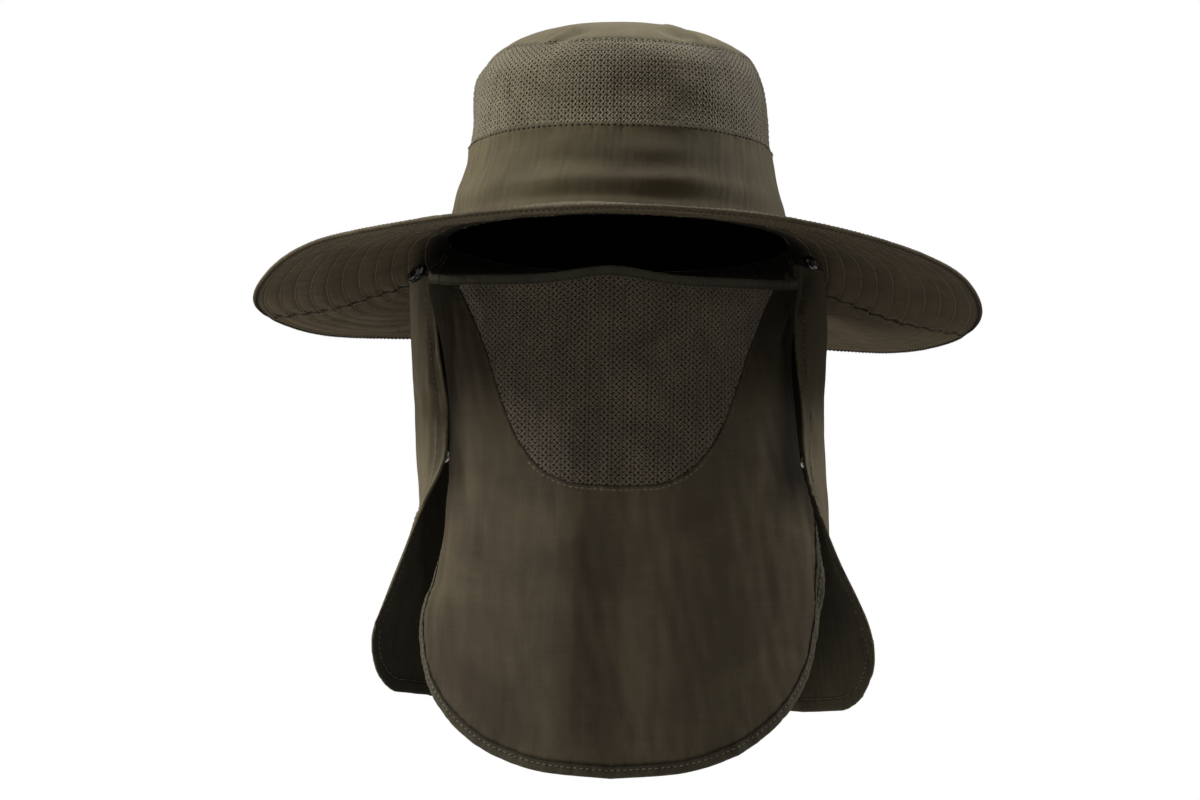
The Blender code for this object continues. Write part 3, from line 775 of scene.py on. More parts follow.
@dataclass(frozen=True)
class ClothFinish:
    """A thin woven cloth, its colours, weave, creases and sheen, and the painted shade that darkens it."""

    colour: Colour
    second: Colour
    threads: float = 2300.0
    weave_depth: float = 0.05
    crinkle_size: float = 5 * MM
    crinkle_depth: float = 0.22
    roughness: float = 0.78
    sheen: float = 0.25
    patch: float = 26 * MM
    uneven: float = 0.8
    wear: float = 0.5
    # How far a full mask of painted shade darkens the colour, along sewn lines and in shaded places
    shade_strength: float = 0.5
    specular: float = 0.26
    # Painted shade towards the top: full colour at the first height, the least share of it at the second
    # height and above
    painted_shade_top: tuple[float, float] | None = None
    painted_shade_least: float = 0.02
    # Painted shade close round the crown: the least share of the colour within the first reach, full colour
    # from the second
    painted_shade_ring: tuple[float, float] | None = None

    RING_PLAN = (1.15, 1.0, 0.0)
    STREAK_DEPTH = 0.07

    def paint(self, name: str, effects: Effects) -> bpy.types.Material:
        """A material of this cloth.

        Args:
            name: The material's name.
            effects: The shared shader groups.

        Returns:
            The material.
        """
        paint, graph, shader = new_material(name)
        coordinates = graph.add("ShaderNodeTexCoord").outputs
        place = coordinates["Object"]
        seam, groove_and_shade = [graph.add("ShaderNodeAttribute", attribute_name=mask).outputs["Fac"]
                        for mask in ("seam", "groove_and_shade")]
        dye = graph.use(effects.dye, Place=place, Colour=(*self.colour, 1), Second=(*self.second, 1),
                        Patch=self.patch, Amount=self.uneven)
        weave = graph.use(effects.weave, Flat=coordinates["UV"], Threads=self.threads)
        crinkle = graph.use(effects.crinkle, Place=place, Size=self.crinkle_size)
        tone = graph.span(weave["Streaks"], 0.3, 0.7, 0.92, 1.09)
        streaked = graph.vector("SCALE", dye["Colour"], tone)
        wear = graph.use(effects.wear, Place=place, Colour=streaked, Near=seam, Amount=self.wear)
        # Painted shade: from the mask of sewn lines and shaded places, towards the top, and close round the
        # crown
        shade = graph.span(groove_and_shade, 0.0, 1.0, 1.0, 1.0 - self.shade_strength)
        if self.painted_shade_top is not None:
            low = graph.span(graph.parts(place)[2], *self.painted_shade_top, 1.0, self.painted_shade_least)
            shade = graph.math("MULTIPLY", shade, low)
        if self.painted_shade_ring is not None:
            plan = graph.vector("MULTIPLY", place, self.RING_PLAN)
            reach = graph.add("ShaderNodeVectorMath", {0: plan}, operation="LENGTH").outputs["Value"]
            shade = graph.math("MULTIPLY", shade, graph.span(reach, *self.painted_shade_ring, self.painted_shade_least, 1.0))
        height = graph.math("MULTIPLY", crinkle["Height"], self.crinkle_depth)
        for part, depth in (("Height", self.weave_depth), ("Streaks", self.STREAK_DEPTH)):
            height = graph.math("ADD", height, graph.math("MULTIPLY", weave[part], depth))
        rough = graph.span(crinkle["Height"], 0.8, 2.2, self.roughness - 0.07, self.roughness + 0.08)
        graph.fill(shader, {
            "Base Color": graph.vector("SCALE", wear["Colour"], shade),
            "Roughness": rough,
            "Normal": graph.bump(height, 1.0, MM),
            "Sheen Weight": self.sheen,
            "Sheen Roughness": 0.45,
            "Sheen Tint": (0.55, 0.50, 0.38, 1.0),
            "Specular IOR Level": self.specular,
        })
        return paint


@dataclass(frozen=True)
class NetFinish:
    """A knitted net: rows of slanting light strokes that turn from row to row, and fine loops."""

    colour: Colour
    second: Colour
    loop: float = 0.7 * MM
    row: float = 1.5 * MM
    stroke: float = 1.85 * MM
    reach: float = 95 * MM
    roughness: float = 0.72

    def paint(self, name: str, effects: Effects) -> bpy.types.Material:
        """A material of this net.

        Args:
            name: The material's name.
            effects: The shared shader groups.

        Returns:
            The material.
        """
        paint, graph, shader = new_material(name)
        place = graph.add("ShaderNodeTexCoord").outputs["Object"]
        dye = graph.use(effects.dye, Place=place, Colour=(*self.colour, 1), Second=(*self.second, 1),
                        Patch=22 * MM, Amount=0.9)
        loops = graph.noise(place, 1.0 / self.loop, 2.0, 0.5)
        parts = graph.parts(place)
        turn = graph.math("ARCTAN2", parts[0], graph.math("MULTIPLY", parts[1], -1.0))
        slant = graph.math("PINGPONG", parts[2], self.row)
        along = graph.math("ADD", graph.math("MULTIPLY", turn, self.reach), slant)
        stroke = graph.math("SINE", graph.math("MULTIPLY", along, 2 * math.pi / self.stroke))
        light = graph.span(stroke, -0.8, 0.9, 0.62, 1.42)
        tone = graph.math("MULTIPLY", graph.span(loops, 0.35, 0.65, 0.80, 1.22), light)
        height = graph.math("ADD", loops, graph.math("MULTIPLY", stroke, 0.5))
        graph.fill(shader, {
            "Base Color": graph.vector("SCALE", dye["Colour"], tone),
            "Roughness": graph.span(loops, 0.3, 0.7, self.roughness - 0.1, self.roughness + 0.1),
            "Normal": graph.bump(height, 0.8, 0.35 * MM),
            "Sheen Weight": 0.2,
            "Sheen Roughness": 0.5,
            "Specular IOR Level": 0.35,
        })
        return paint


@dataclass(frozen=True)
class ThreadFinish:
    """Spun sewing thread."""

    colour: Colour
    roughness: float = 0.55

    def paint(self, name: str) -> bpy.types.Material:
        """A material of this thread, its colour and twist uneven."""
        paint, graph, shader = new_material(name)
        place = graph.add("ShaderNodeTexCoord").outputs["Object"]
        tone = graph.span(graph.noise(place, 900.0, 1.0), 0.3, 0.7, 0.75, 1.25)
        colour = graph.add("ShaderNodeRGB").outputs[0]
        colour.default_value = (*self.colour, 1)
        twist = graph.noise(place, 3200.0, 1.0)
        graph.fill(shader, {
            "Base Color": graph.vector("SCALE", colour, tone),
            "Roughness": graph.span(twist, 0.3, 0.7, self.roughness, self.roughness + 0.15),
            "Specular IOR Level": 0.4,
        })
        return paint


@dataclass(frozen=True)
class MetalFinish:
    """Dark plated metal, rubbed bright in places."""

    colour: Colour
    worn: Colour
    roughness: float = 0.3

    def paint(self, name: str) -> bpy.types.Material:
        """A material of this metal, with scratches and rubbed patches."""
        paint, graph, shader = new_material(name)
        place = graph.add("ShaderNodeTexCoord").outputs["Object"]
        patches = graph.span(graph.noise(place, 380.0, 4.0, 0.4), 0.46, 0.66)
        scratch = graph.noise(graph.vector("MULTIPLY", place, (2600.0, 300.0, 2600.0)), 1.0, 2.0)
        graph.fill(shader, {
            "Base Color": graph.blend(patches, (*self.colour, 1), (*self.worn, 1)),
            "Roughness": graph.span(scratch, 0.3, 0.7, self.roughness, self.roughness + 0.25),
            "Normal": graph.bump(scratch, 0.4, 0.04 * MM),
            "Metallic": 1.0,
        })
        return paint


class Finishes:
    """Every material of the hat."""

    def __init__(self) -> None:
        """Make the materials from their finishes."""
        self.effects = Effects()
        olive, brown = (0.098, 0.082, 0.045), (0.072, 0.056, 0.033)
        self.crown = self.cloth("crown_cloth", (0.106, 0.089, 0.048), (0.080, 0.063, 0.037))
        # The tip's cloth, painted lighter than the band's: painted light from above
        self.tip = self.cloth("tip_lit_cloth", (0.164, 0.144, 0.088), (0.130, 0.110, 0.066), uneven=0.6)
        self.brim = self.cloth("brim_cloth", olive, brown, crinkle_depth=0.16, shade_strength=0.7)
        # The brim's underside, with painted shade close round the crown and strong painted shade along its
        # seams and rolled edge
        self.under = self.cloth("under_cloth", (0.108, 0.082, 0.048), brown, crinkle_depth=0.16, shade_strength=0.85,
                                sheen=0.08, specular=0.14, painted_shade_ring=(106 * MM, 126 * MM))
        # The flap's outer face, with painted shadow of the brim darkening it towards its top
        self.neck = self.cloth("neck_cloth", (0.146, 0.121, 0.074), (0.112, 0.090, 0.056),
                               painted_shade_top=(-95 * MM, -25 * MM), painted_shade_least=0.42)
        # The flap's inner face: the same cloth painted darker as painted shade, and darker still towards
        # the top
        self.neck_inside_shaded = self.cloth("neck_inside_shaded_cloth", (0.054, 0.048, 0.031), (0.041, 0.035, 0.025),
                                      sheen=0.02, specular=0.1, painted_shade_top=(-95 * MM, -40 * MM))
        # A near-black sheet just behind the nets' holes: painted shade of the hollow seen through them
        self.shade_sheet = self.cloth("net_shade_sheet", (0.020, 0.018, 0.013), (0.014, 0.012, 0.009), sheen=0.0)
        # The panel's outer face, with strong painted shade where the flap and the brim shade it
        self.face = self.cloth("face_cloth", (0.106, 0.088, 0.057), (0.078, 0.062, 0.044), patch=34 * MM,
                               uneven=0.9, shade_strength=0.86, sheen=0.03, specular=0.07)
        # The panel's inner face, with painted shade darkening it towards the top
        self.face_inside = self.cloth("face_inside_cloth", olive, brown, sheen=0.1,
                                      painted_shade_top=(-120 * MM, -40 * MM))
        self.trim = self.cloth("trim_cloth", (0.078, 0.069, 0.044), (0.048, 0.041, 0.027),
                               crinkle_depth=0.12, wear=0.9, shade_strength=0.7)
        self.hem = self.cloth("hem_cloth", (0.060, 0.056, 0.038), (0.040, 0.035, 0.025),
                              crinkle_depth=0.12, wear=0.7)
        # The crown's inner faces, near black: painted shade of the hollow inside it
        self.inside_shade = self.cloth("inside_shade_cloth", (0.003, 0.003, 0.003), (0.002, 0.002, 0.002), sheen=0.0,
                                 specular=0.03, uneven=0.4)
        crown_net = NetFinish((0.162, 0.140, 0.084), (0.116, 0.097, 0.057))
        face_net = NetFinish((0.108, 0.087, 0.056), (0.072, 0.056, 0.038))
        self.net = crown_net.paint("crown_net_mesh", self.effects)
        self.face_net = face_net.paint("face_net_mesh", self.effects)
        self.thread = ThreadFinish((0.190, 0.165, 0.115)).paint("olive_thread")
        self.dark_thread = ThreadFinish((0.030, 0.026, 0.019)).paint("dark_thread")
        self.metal = MetalFinish((0.020, 0.020, 0.021), (0.30, 0.30, 0.29)).paint("dark_metal")
        self.bright = MetalFinish((0.42, 0.40, 0.36), (0.70, 0.68, 0.62), 0.2).paint("bright_metal")

    def cloth(self, name: str, colour: Colour, second: Colour, **settings: object) -> bpy.types.Material:
        """A cloth's material.

        Args:
            name: Its name.
            colour: The cloth's colour.
            second: The colour of its patches.
            settings: Other fields of the finish.

        Returns:
            The material.
        """
        return ClothFinish(colour, second, **settings).paint(name, self.effects)


class Growth:
    """The geometry node trees: sewn rows along seams, and holes in a net."""

    HOLE_TALL = 0.56
    HOLE_WIDE = 0.50

    def __init__(self) -> None:
        """Build both trees."""
        self.rows = self.make_rows()
        self.holes = self.make_holes()

    @staticmethod
    def make_rows() -> bpy.types.NodeTree:
        """Rows of stitches: one small rounded thread every pitch along each line of the mesh."""
        graph, given, result = Graph.group(
            "sewn rows", "GeometryNodeTree",
            {"Geometry": "Geometry", "Pitch": "Float", "Length": "Float", "Radius": "Float",
             "Thread": "Material"}, {"Geometry": "Geometry"})
        curve = graph.step("GeometryNodeMeshToCurve", {0: given["Geometry"]})
        points = graph.add("GeometryNodeCurveToPoints", {"Curve": curve, "Length": given["Pitch"]},
                           mode="LENGTH").outputs
        ball = graph.step("GeometryNodeMeshUVSphere", {"Segments": 5, "Rings": 4, "Radius": 1.0})
        half_length = graph.math("MULTIPLY", given["Length"], 0.5)
        size = graph.step("ShaderNodeCombineXYZ", {0: given["Radius"], 1: given["Radius"], 2: half_length})
        shaped = graph.step("GeometryNodeTransform", {"Geometry": ball, "Scale": size})
        turn = graph.step("FunctionNodeAlignRotationToVector", {"Vector": points["Tangent"]}, axis="Z")
        copies = graph.step("GeometryNodeInstanceOnPoints",
                            {"Points": points["Points"], "Instance": shaped, "Rotation": turn})
        real = graph.step("GeometryNodeRealizeInstances", {0: copies})
        smooth = graph.step("GeometryNodeSetShadeSmooth", {"Geometry": real})
        dressed = graph.step("GeometryNodeSetMaterial", {"Geometry": smooth, "Material": given["Thread"]})
        graph.fill(result, {"Geometry": dressed})
        return graph.tree

    @staticmethod
    def make_holes() -> bpy.types.NodeTree:
        """A hole in each open cell of a net, its face set in and taken out, and a sheet behind it whose
        dark colour is painted shade.
        """
        graph, given, result = Graph.group(
            "net holes", "GeometryNodeTree",
            {"Geometry": "Geometry", "Tall": "Float", "Wide": "Float", "Net": "Material", "Behind": "Float",
             "Ply": "Material"}, {"Geometry": "Geometry"})
        opened = graph.step("GeometryNodeInputNamedAttribute", {"Name": "open"}, data_type="BOOLEAN")
        inset = graph.add("GeometryNodeExtrudeMesh",
                          {"Mesh": given["Geometry"], "Selection": opened, "Offset Scale": 0.0,
                           "Individual": True}, mode="FACES").outputs
        even = graph.step("GeometryNodeScaleElements",
                          {"Geometry": inset["Mesh"], "Selection": inset["Top"], "Scale": given["Tall"]},
                          domain="FACE", scale_mode="UNIFORM")
        facing = graph.step("GeometryNodeInputNormal")
        across = graph.vector("CROSS_PRODUCT", facing, (0.0, 0.0, 1.0))
        narrow = graph.step("GeometryNodeScaleElements",
                            {"Geometry": even, "Selection": inset["Top"], "Scale": given["Wide"],
                             "Axis": across}, domain="FACE", scale_mode="SINGLE_AXIS")
        cut = graph.step("GeometryNodeDeleteGeometry", {"Geometry": narrow, "Selection": inset["Top"]},
                         domain="FACE")
        real = graph.step("GeometryNodeRealizeInstances", {0: cut})
        dressed = graph.step("GeometryNodeSetMaterial", {"Geometry": real, "Material": given["Net"]})
        back = graph.vector("SCALE", facing, graph.math("MULTIPLY", given["Behind"], -1.0))
        moved = graph.step("GeometryNodeSetPosition", {"Geometry": given["Geometry"], "Offset": back})
        shade_sheet = graph.step("GeometryNodeSetMaterial", {"Geometry": moved, "Material": given["Ply"]})
        both = graph.add("GeometryNodeJoinGeometry", {0: shade_sheet})
        graph.fill(both, {0: dressed})
        graph.fill(result, {"Geometry": both.outputs[0]})
        return graph.tree

    @staticmethod
    def grown(name: str, base: bpy.types.Mesh, tree: bpy.types.NodeTree, wall: float = 0.0, **values: object
              ) -> bpy.types.Object:
        """A plain mesh object of what a tree makes of a base mesh.

        Args:
            name: The piece's name.
            base: What the tree starts from.
            tree: The tree.
            wall: A wall to give the result, or nothing.
            values: The tree's inputs by name.

        Returns:
            The piece, at the origin, with no modifier left.
        """
        source = placed(name + "_base", base)
        modifier = source.modifiers.new("growth", "NODES")
        modifier.node_group = tree
        for item in tree.interface.items_tree:
            if item.item_type == "SOCKET" and item.in_out == "INPUT" and item.name in values:
                modifier[item.identifier] = values[item.name]
        if wall:
            solid = source.modifiers.new("wall", "SOLIDIFY")
            solid.thickness = wall
            solid.offset = 0.0
        graph = bpy.context.evaluated_depsgraph_get()
        graph.update()
        mesh = bpy.data.meshes.new_from_object(source.evaluated_get(graph), preserve_all_data_layers=True,
                                               depsgraph=graph)
        source.modifiers.clear()
        bpy.data.objects.remove(source)
        mesh.name = name
        return placed(name, mesh)

    def net(self, name: str, ground: bpy.types.Mesh, wall: float, paint: bpy.types.Material, behind: float,
            shade_sheet: bpy.types.Material) -> bpy.types.Object:
        """A net grown from its ground, its strands soft and its hole edges crisp.

        Args:
            name: The piece's name.
            ground: The field of cells.
            wall: The net's thickness.
            paint: Its material.
            behind: How far behind it the dark sheet lies.
            shade_sheet: The sheet's material, dark as painted shade.

        Returns:
            The piece.
        """
        piece = self.grown(name, ground, self.holes, wall, Tall=self.HOLE_TALL, Wide=self.HOLE_WIDE,
                           Net=paint, Behind=behind, Ply=shade_sheet)
        piece.data.polygons.foreach_set("use_smooth", np.ones(len(piece.data.polygons), bool))
        piece.data.set_sharp_from_angle(angle=NET_CREASE)
        return piece


@dataclass
class Sewing:
    """Rows of stitches laid on finished cloth."""

    growth: Growth
    pitch: float = 3.0 * MM
    length: float = 2.1 * MM
    radius: float = 0.24 * MM

    def settle(self, line: np.ndarray, facing: np.ndarray, side: Face, cloth: BVHTree) -> list[Vector]:
        """A line brought onto one side of a cloth.

        Args:
            line: Points near its middle surface.
            facing: The outward way at each.
            side: Which side of the cloth.
            cloth: The finished shells, as a tree to search.

        Returns:
            The points, just above the surface.
        """
        result = []
        for point, out in zip(line, facing):
            way = Vector(out) * side.value
            start = Vector(point) + way * 4 * MM
            hit = cloth.ray_cast(start, -way, 8 * MM)[0]
            if hit is not None:
                result.append(hit + way * self.radius * 0.35)
        return result

    def sew(self, name: str, lines: Iterable[StitchRow],
            cloth: Sequence[bpy.types.Object], thread: bpy.types.Material,
            pitch: float | None = None, length: float | None = None, radius: float | None = None
            ) -> bpy.types.Object:
        """Rows of stitches as one piece.

        Args:
            name: The piece's name.
            lines: Each row's points, the outward way at each, and its side.
            cloth: The pieces that they lie on.
            thread: The material.
            pitch: Another distance from stitch to stitch.
            length: Another length of a stitch.
            radius: Another thickness, as half of it.

        Returns:
            The piece.
        """
        vertices, faces = [], []
        for item in cloth:
            start = len(vertices)
            vertices += [v.co.copy() for v in item.data.vertices]
            faces += [[start + i for i in polygon.vertices] for polygon in item.data.polygons]
        tree = BVHTree.FromPolygons(vertices, faces)
        points, edges = [], []
        for line, facing, side in lines:
            path = self.settle(line, facing, side, tree)
            edges += [(len(points) + i, len(points) + i + 1) for i in range(len(path) - 1)]
            points += path
        base = bpy.data.meshes.new(name)
        base.from_pydata(points, edges, [])
        piece = Growth.grown(name, base, self.growth.rows, Pitch=pitch or self.pitch,
                             Length=length or self.length, Radius=radius or self.radius, Thread=thread)
        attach(piece, "root")
        return piece


def line_on(surface: Callable[[np.ndarray, np.ndarray], np.ndarray], u: np.ndarray, v: np.ndarray,
            outward: Callable[[np.ndarray], np.ndarray]) -> tuple[np.ndarray, np.ndarray]:
    """A line on a surface with the outward way at each point.

    Args:
        surface: Gives points for its two coordinates.
        u: The first coordinate along the line.
        v: The second one.
        outward: Gives a rough outward way for points, which settles the sign.

    Returns:
        The points, and unit vectors.
    """
    step = 1e-4
    here = surface(u, v)
    scale_u = max(float(np.ptp(u)), float(np.abs(u).max()), 1e-3) * step
    scale_v = max(float(np.ptp(v)), float(np.abs(v).max()), 1e-3) * step
    facing = np.cross(surface(u + scale_u, v) - here, surface(u, v + scale_v) - here)
    facing /= np.maximum(np.linalg.norm(facing, axis=-1, keepdims=True), 1e-15)
    facing *= np.sign((facing * outward(here)).sum(-1, keepdims=True))
    return here, facing


def run_along(points: np.ndarray) -> np.ndarray:
    """The distance along a line of points to each of them."""
    return np.append(0.0, np.cumsum(np.linalg.norm(np.diff(points, axis=0), axis=1)))


def between(plans: np.ndarray, row: np.ndarray, column: np.ndarray) -> np.ndarray:
    """Places between the entries of a table of plans.

    Args:
        plans: One place for each row and column.
        row: Rows, with fractions.
        column: Columns, with fractions.

    Returns:
        The places, each mixed from the four entries round it.
    """
    i = np.minimum(row.astype(int), plans.shape[0] - 2)
    j = np.minimum(column.astype(int), plans.shape[1] - 2)
    s, t = (row - i)[..., None], (column - j)[..., None]
    return ((1 - s) * ((1 - t) * plans[i, j] + t * plans[i, j + 1])
            + s * ((1 - t) * plans[i + 1, j] + t * plans[i + 1, j + 1]))


def from_axis(points: np.ndarray) -> np.ndarray:
    """The way out from the hat's upright axis."""
    return points * np.array([1.0, 1.0, 0.0])


def upwards(points: np.ndarray) -> np.ndarray:
    """Straight up at each point."""
    return np.broadcast_to(np.array([0.0, 0.0, 1.0]), points.shape)


class Net:
    """A staggered field of six-sided cells, the ground that holes are cut in."""

    @staticmethod
    def cells(columns: range, rows: range, pitch_u: float, pitch_v: float,
              place: Callable[[np.ndarray, np.ndarray], np.ndarray],
              fit: Callable[[np.ndarray, np.ndarray], tuple[np.ndarray, np.ndarray, np.ndarray]],
              turn: int | None = None) -> bpy.types.Mesh:
        """The field as a mesh with a flag on each cell that is opened.

        Args:
            columns: The cells' numbers along a row.
            rows: The rows' numbers.
            pitch_u: The distance from hole to hole along a row.
            pitch_v: The distance from row to row.
            place: Gives points for flat places.
            fit: Brings flat places inside the outline, and says which were outside.
            turn: How many cells go round, where the field closes on itself.

        Returns:
            The mesh.
        """
        corners = ((0, 2), (1, 1), (1, -1), (0, -2), (-1, -1), (-1, 1))
        keys: dict[tuple[int, int], int] = {}
        cells, centres = [], []
        for row in rows:
            for column in columns:
                cx, cy = 2 * column + row % 2, 3 * row
                cell = []
                for dx, dy in corners:
                    key = (cx + dx if turn is None else (cx + dx) % (2 * turn), cy + dy)
                    cell.append(keys.setdefault(key, len(keys)))
                cells.append(cell)
                centres.append((cx, cy))
        lattice = np.array(list(keys), float)
        u, v = lattice[:, 0] * pitch_u / 2, lattice[:, 1] * pitch_v / 3
        u, v, outside = fit(u, v)
        kept, opened = [], []
        for cell in cells:
            out = int(outside[cell].sum())
            if out == len(cell) or (out and np.ptp(u[cell]) * np.ptp(v[cell]) < 1e-9):
                continue
            kept.append(cell)
            opened.append(out == 0)
        mesh = bpy.data.meshes.new("net_ground")
        mesh.from_pydata(place(u, v).tolist(), [], kept)
        flags = mesh.attributes.new("open", "BOOLEAN", "FACE")
        flags.data.foreach_set("value", opened)
        work = bmesh.new()
        work.from_mesh(mesh)
        bmesh.ops.dissolve_degenerate(work, edges=work.edges, dist=1e-6)
        loose = [v for v in work.verts if not v.link_faces]
        bmesh.ops.delete(work, geom=loose, context="VERTS")
        bmesh.ops.recalc_face_normals(work, faces=work.faces)
        outward = sum(f.normal.dot(Vector((*f.calc_center_median()[:2], 0.0))) for f in work.faces)
        if outward < 0:
            bmesh.ops.reverse_faces(work, faces=work.faces)
        work.to_mesh(mesh)
        work.free()
        mesh.materials.clear()
        return mesh


def dress(piece: bpy.types.Object, *nodes: str) -> bpy.types.Object:
    """Ride a piece on the hat, put it in place of its solids, and report it.

    Args:
        piece: The piece.
        nodes: The names of the solids that it stands in for.

    Returns:
        The piece.
    """
    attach(piece, "root")
    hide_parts(*nodes)
    log.info("%s: %d faces", piece.name, len(piece.data.polygons))
    return piece


@dataclass
class Crown:
    """The crown: a plain band, a ring of net and a domed tip."""

    half_width: float = 88 * MM
    half_length: float = 101 * MM
    height: float = 110 * MM
    net_bottom: float = 46.5 * MM
    tip_seam: float = 89.0 * MM
    wall: float = 1.5 * MM
    net_wall: float = 0.8 * MM
    net_behind: float = 0.9 * MM
    tuck: float = 1.2 * MM
    columns: int = 440
    net_turn: int = 140
    net_pitch: float = 1.5 * MM

    # The middle and the reach, in degrees or metres, of the creased sides and of the band's patch of
    # painted shade
    SIDES = (78, 34)
    SHADE_PATCH_TURN = (2, 34)
    SHADE_PATCH_HEIGHT = (28 * MM, 17 * MM)
    UPRIGHT = (Waves(0.20, 11, 90, 3), Waves(0.14, 6, 50, 4))
    BROAD = Waves(0.28, 60, 34, 5)
    PUCKER = Waves(0.16, 7, 40, 8)

    def turns(self) -> np.ndarray:
        """The azimuths of a grid's columns, the first and the last at the back."""
        return np.linspace(-math.pi, math.pi, self.columns + 1)[None, :]

    def surface(self, azimuth: np.ndarray, height: np.ndarray) -> np.ndarray:
        """Points of the middle surface.

        Args:
            azimuth: In radians from the front to the right.
            height: In metres above the brim's seam.

        Returns:
            The points.
        """
        share = height / self.height
        width, length, boxy = [CROWN.at(name, share) for name in ("width", "length", "boxy")]
        x, y = oval(self.half_width * width, self.half_length * length, boxy, azimuth)
        low = np.clip(height / self.net_bottom * 6, 0, 1)
        fade = np.clip((self.net_bottom - height) / self.net_bottom * 8, 0, 1) * low
        out = 1.0 + swell(BAND_FOLDS, turned_degrees(azimuth), share) * fade / self.half_width
        return np.stack(np.broadcast_arrays(x * out, y * out, height), axis=-1)

    def relief(self, azimuth: np.ndarray, height: np.ndarray) -> np.ndarray:
        """How far wrinkles and seams stand out of the middle surface.

        Args:
            azimuth: In radians.
            height: In metres.

        Returns:
            The distance in metres.
        """
        turned = turned_degrees(azimuth)
        u = turned * 1.5 * MM
        sides = 0.25 + bell(np.abs(turned), *self.SIDES)
        upright = sides * sum(waves.at(u, height) for waves in self.UPRIGHT)
        seams = near_line(height, self.net_bottom, 9 * MM) + near_edge(height, 10 * MM)
        seams = seams + near_line(height, self.tip_seam, 10 * MM)
        calm = np.clip((self.height - height) / (18 * MM), 0, 1)
        return (upright + self.BROAD.at(u, height) + seams * self.PUCKER.at(u, height)) * calm

    def build_band(self, finishes: Finishes) -> bpy.types.Object:
        """The plain band above the brim, with a lip under the net and a patch of painted shade at the
        front.
        """
        turns = self.turns()
        low, high = -1.0 * MM, self.net_bottom
        heights = np.linspace(low, high, 41)[:, None]
        grid = self.surface(turns, heights)
        below = high - heights
        lip = 0.45 * MM * near_edge(below, 5 * MM) - 0.9 * MM * near_edge(below, 0.8 * MM)
        out = self.relief(turns, heights) + lip
        grid = grid + Cloth.normals(grid, True) * out[..., None]
        flat = np.stack(np.broadcast_arrays(turns * 90 * MM, heights), axis=-1)
        seam = near_edge(np.minimum(below, heights - low), 5 * MM)
        # Painted shade: a darker patch at the front of the band
        patch = 0.42 * bell(np.degrees(turns), *self.SHADE_PATCH_TURN) * bell(heights, *self.SHADE_PATCH_HEIGHT)
        groove_and_shade = np.maximum(near_line(below, 0.6 * MM, 1.5 * MM), patch)
        paints = (finishes.crown, finishes.inside_shade)
        piece = Cloth.shell("band", grid, self.wall, flat, paints, around=True, seam=seam, groove_and_shade=groove_and_shade)
        return dress(piece, "crown_band")

    def build_tip(self, finishes: Finishes) -> bpy.types.Object:
        """The domed tip, its rows closing to one point."""
        turns = self.turns()
        start = self.tip_seam
        heights = start + (self.height - start) * np.sin(np.linspace(0, math.pi / 2, 37))
        heights[-1] = self.height
        heights = heights[:, None]
        grid = self.surface(turns, heights)
        sewn = start + 1.0 * MM
        out = self.relief(turns, heights) - 0.6 * MM * near_line(heights, sewn, 1.4 * MM)
        front = np.clip(-grid[..., 1] / (40 * MM), 0, 1)
        out = out + front * creased(TIP_PLEATS, grid[..., 0], heights + 0 * turns)
        grid = grid + Cloth.normals(grid, True) * out[..., None]
        grid[-1] = (0.0, 0.0, self.height)
        piece = Cloth.shell("tip", grid, self.wall, grid[..., :2].copy(), (finishes.tip, finishes.inside_shade),
                            around=True, seam=near_edge(heights - start, 3 * MM),
                            groove_and_shade=near_line(heights, sewn, 1.6 * MM))
        return dress(piece, "crown_tip")

    def build_net(self, finishes: Finishes, growth: Growth) -> bpy.types.Object:
        """The ring of net between the band and the tip."""
        heights = np.linspace(self.net_bottom - self.tuck, self.tip_seam + self.tuck, 60)
        middle = self.surface(np.full(60, 0.9), heights)
        run = run_along(middle)

        def place(u: np.ndarray, v: np.ndarray) -> np.ndarray:
            """Points of the crown for an azimuth and a run from the band."""
            height = np.interp(v, run, heights)
            points, facing = line_on(self.surface, u, height, from_axis)
            return points + facing * self.relief(u, height)[..., None]

        def fit(u: np.ndarray, v: np.ndarray) -> tuple[np.ndarray, np.ndarray, np.ndarray]:
            """Hold the run between the two seams."""
            return u, np.clip(v, 0, run[-1]), (v < 0) | (v > run[-1])

        count = int(run[-1] / self.net_pitch)
        pitch_u, pitch_v = 2 * math.pi / self.net_turn, run[-1] / (count + 1 / 3)
        ground = Net.cells(range(self.net_turn), range(count + 1), pitch_u, pitch_v, place, fit,
                           self.net_turn)
        piece = growth.net("net_ring", ground, self.net_wall, finishes.net, self.net_behind, finishes.shade_sheet)
        return dress(piece, "crown_net")

    def build_stitches(self, finishes: Finishes, sewing: Sewing, cloth: Sequence[bpy.types.Object]) -> None:
        """Stitches under the net and under the tip, each row starting at the back."""
        turns = np.linspace(-math.pi, math.pi, 721)
        heights = (self.net_bottom - 1.6 * MM, self.tip_seam + 1.0 * MM)
        lines = [(*line_on(self.surface, turns, np.full_like(turns, height), from_axis), Face.OUTER)
                 for height in heights]
        sewing.sew("crown_stitches", lines, cloth, finishes.dark_thread, length=1.9 * MM,
                   radius=0.48 * MM)


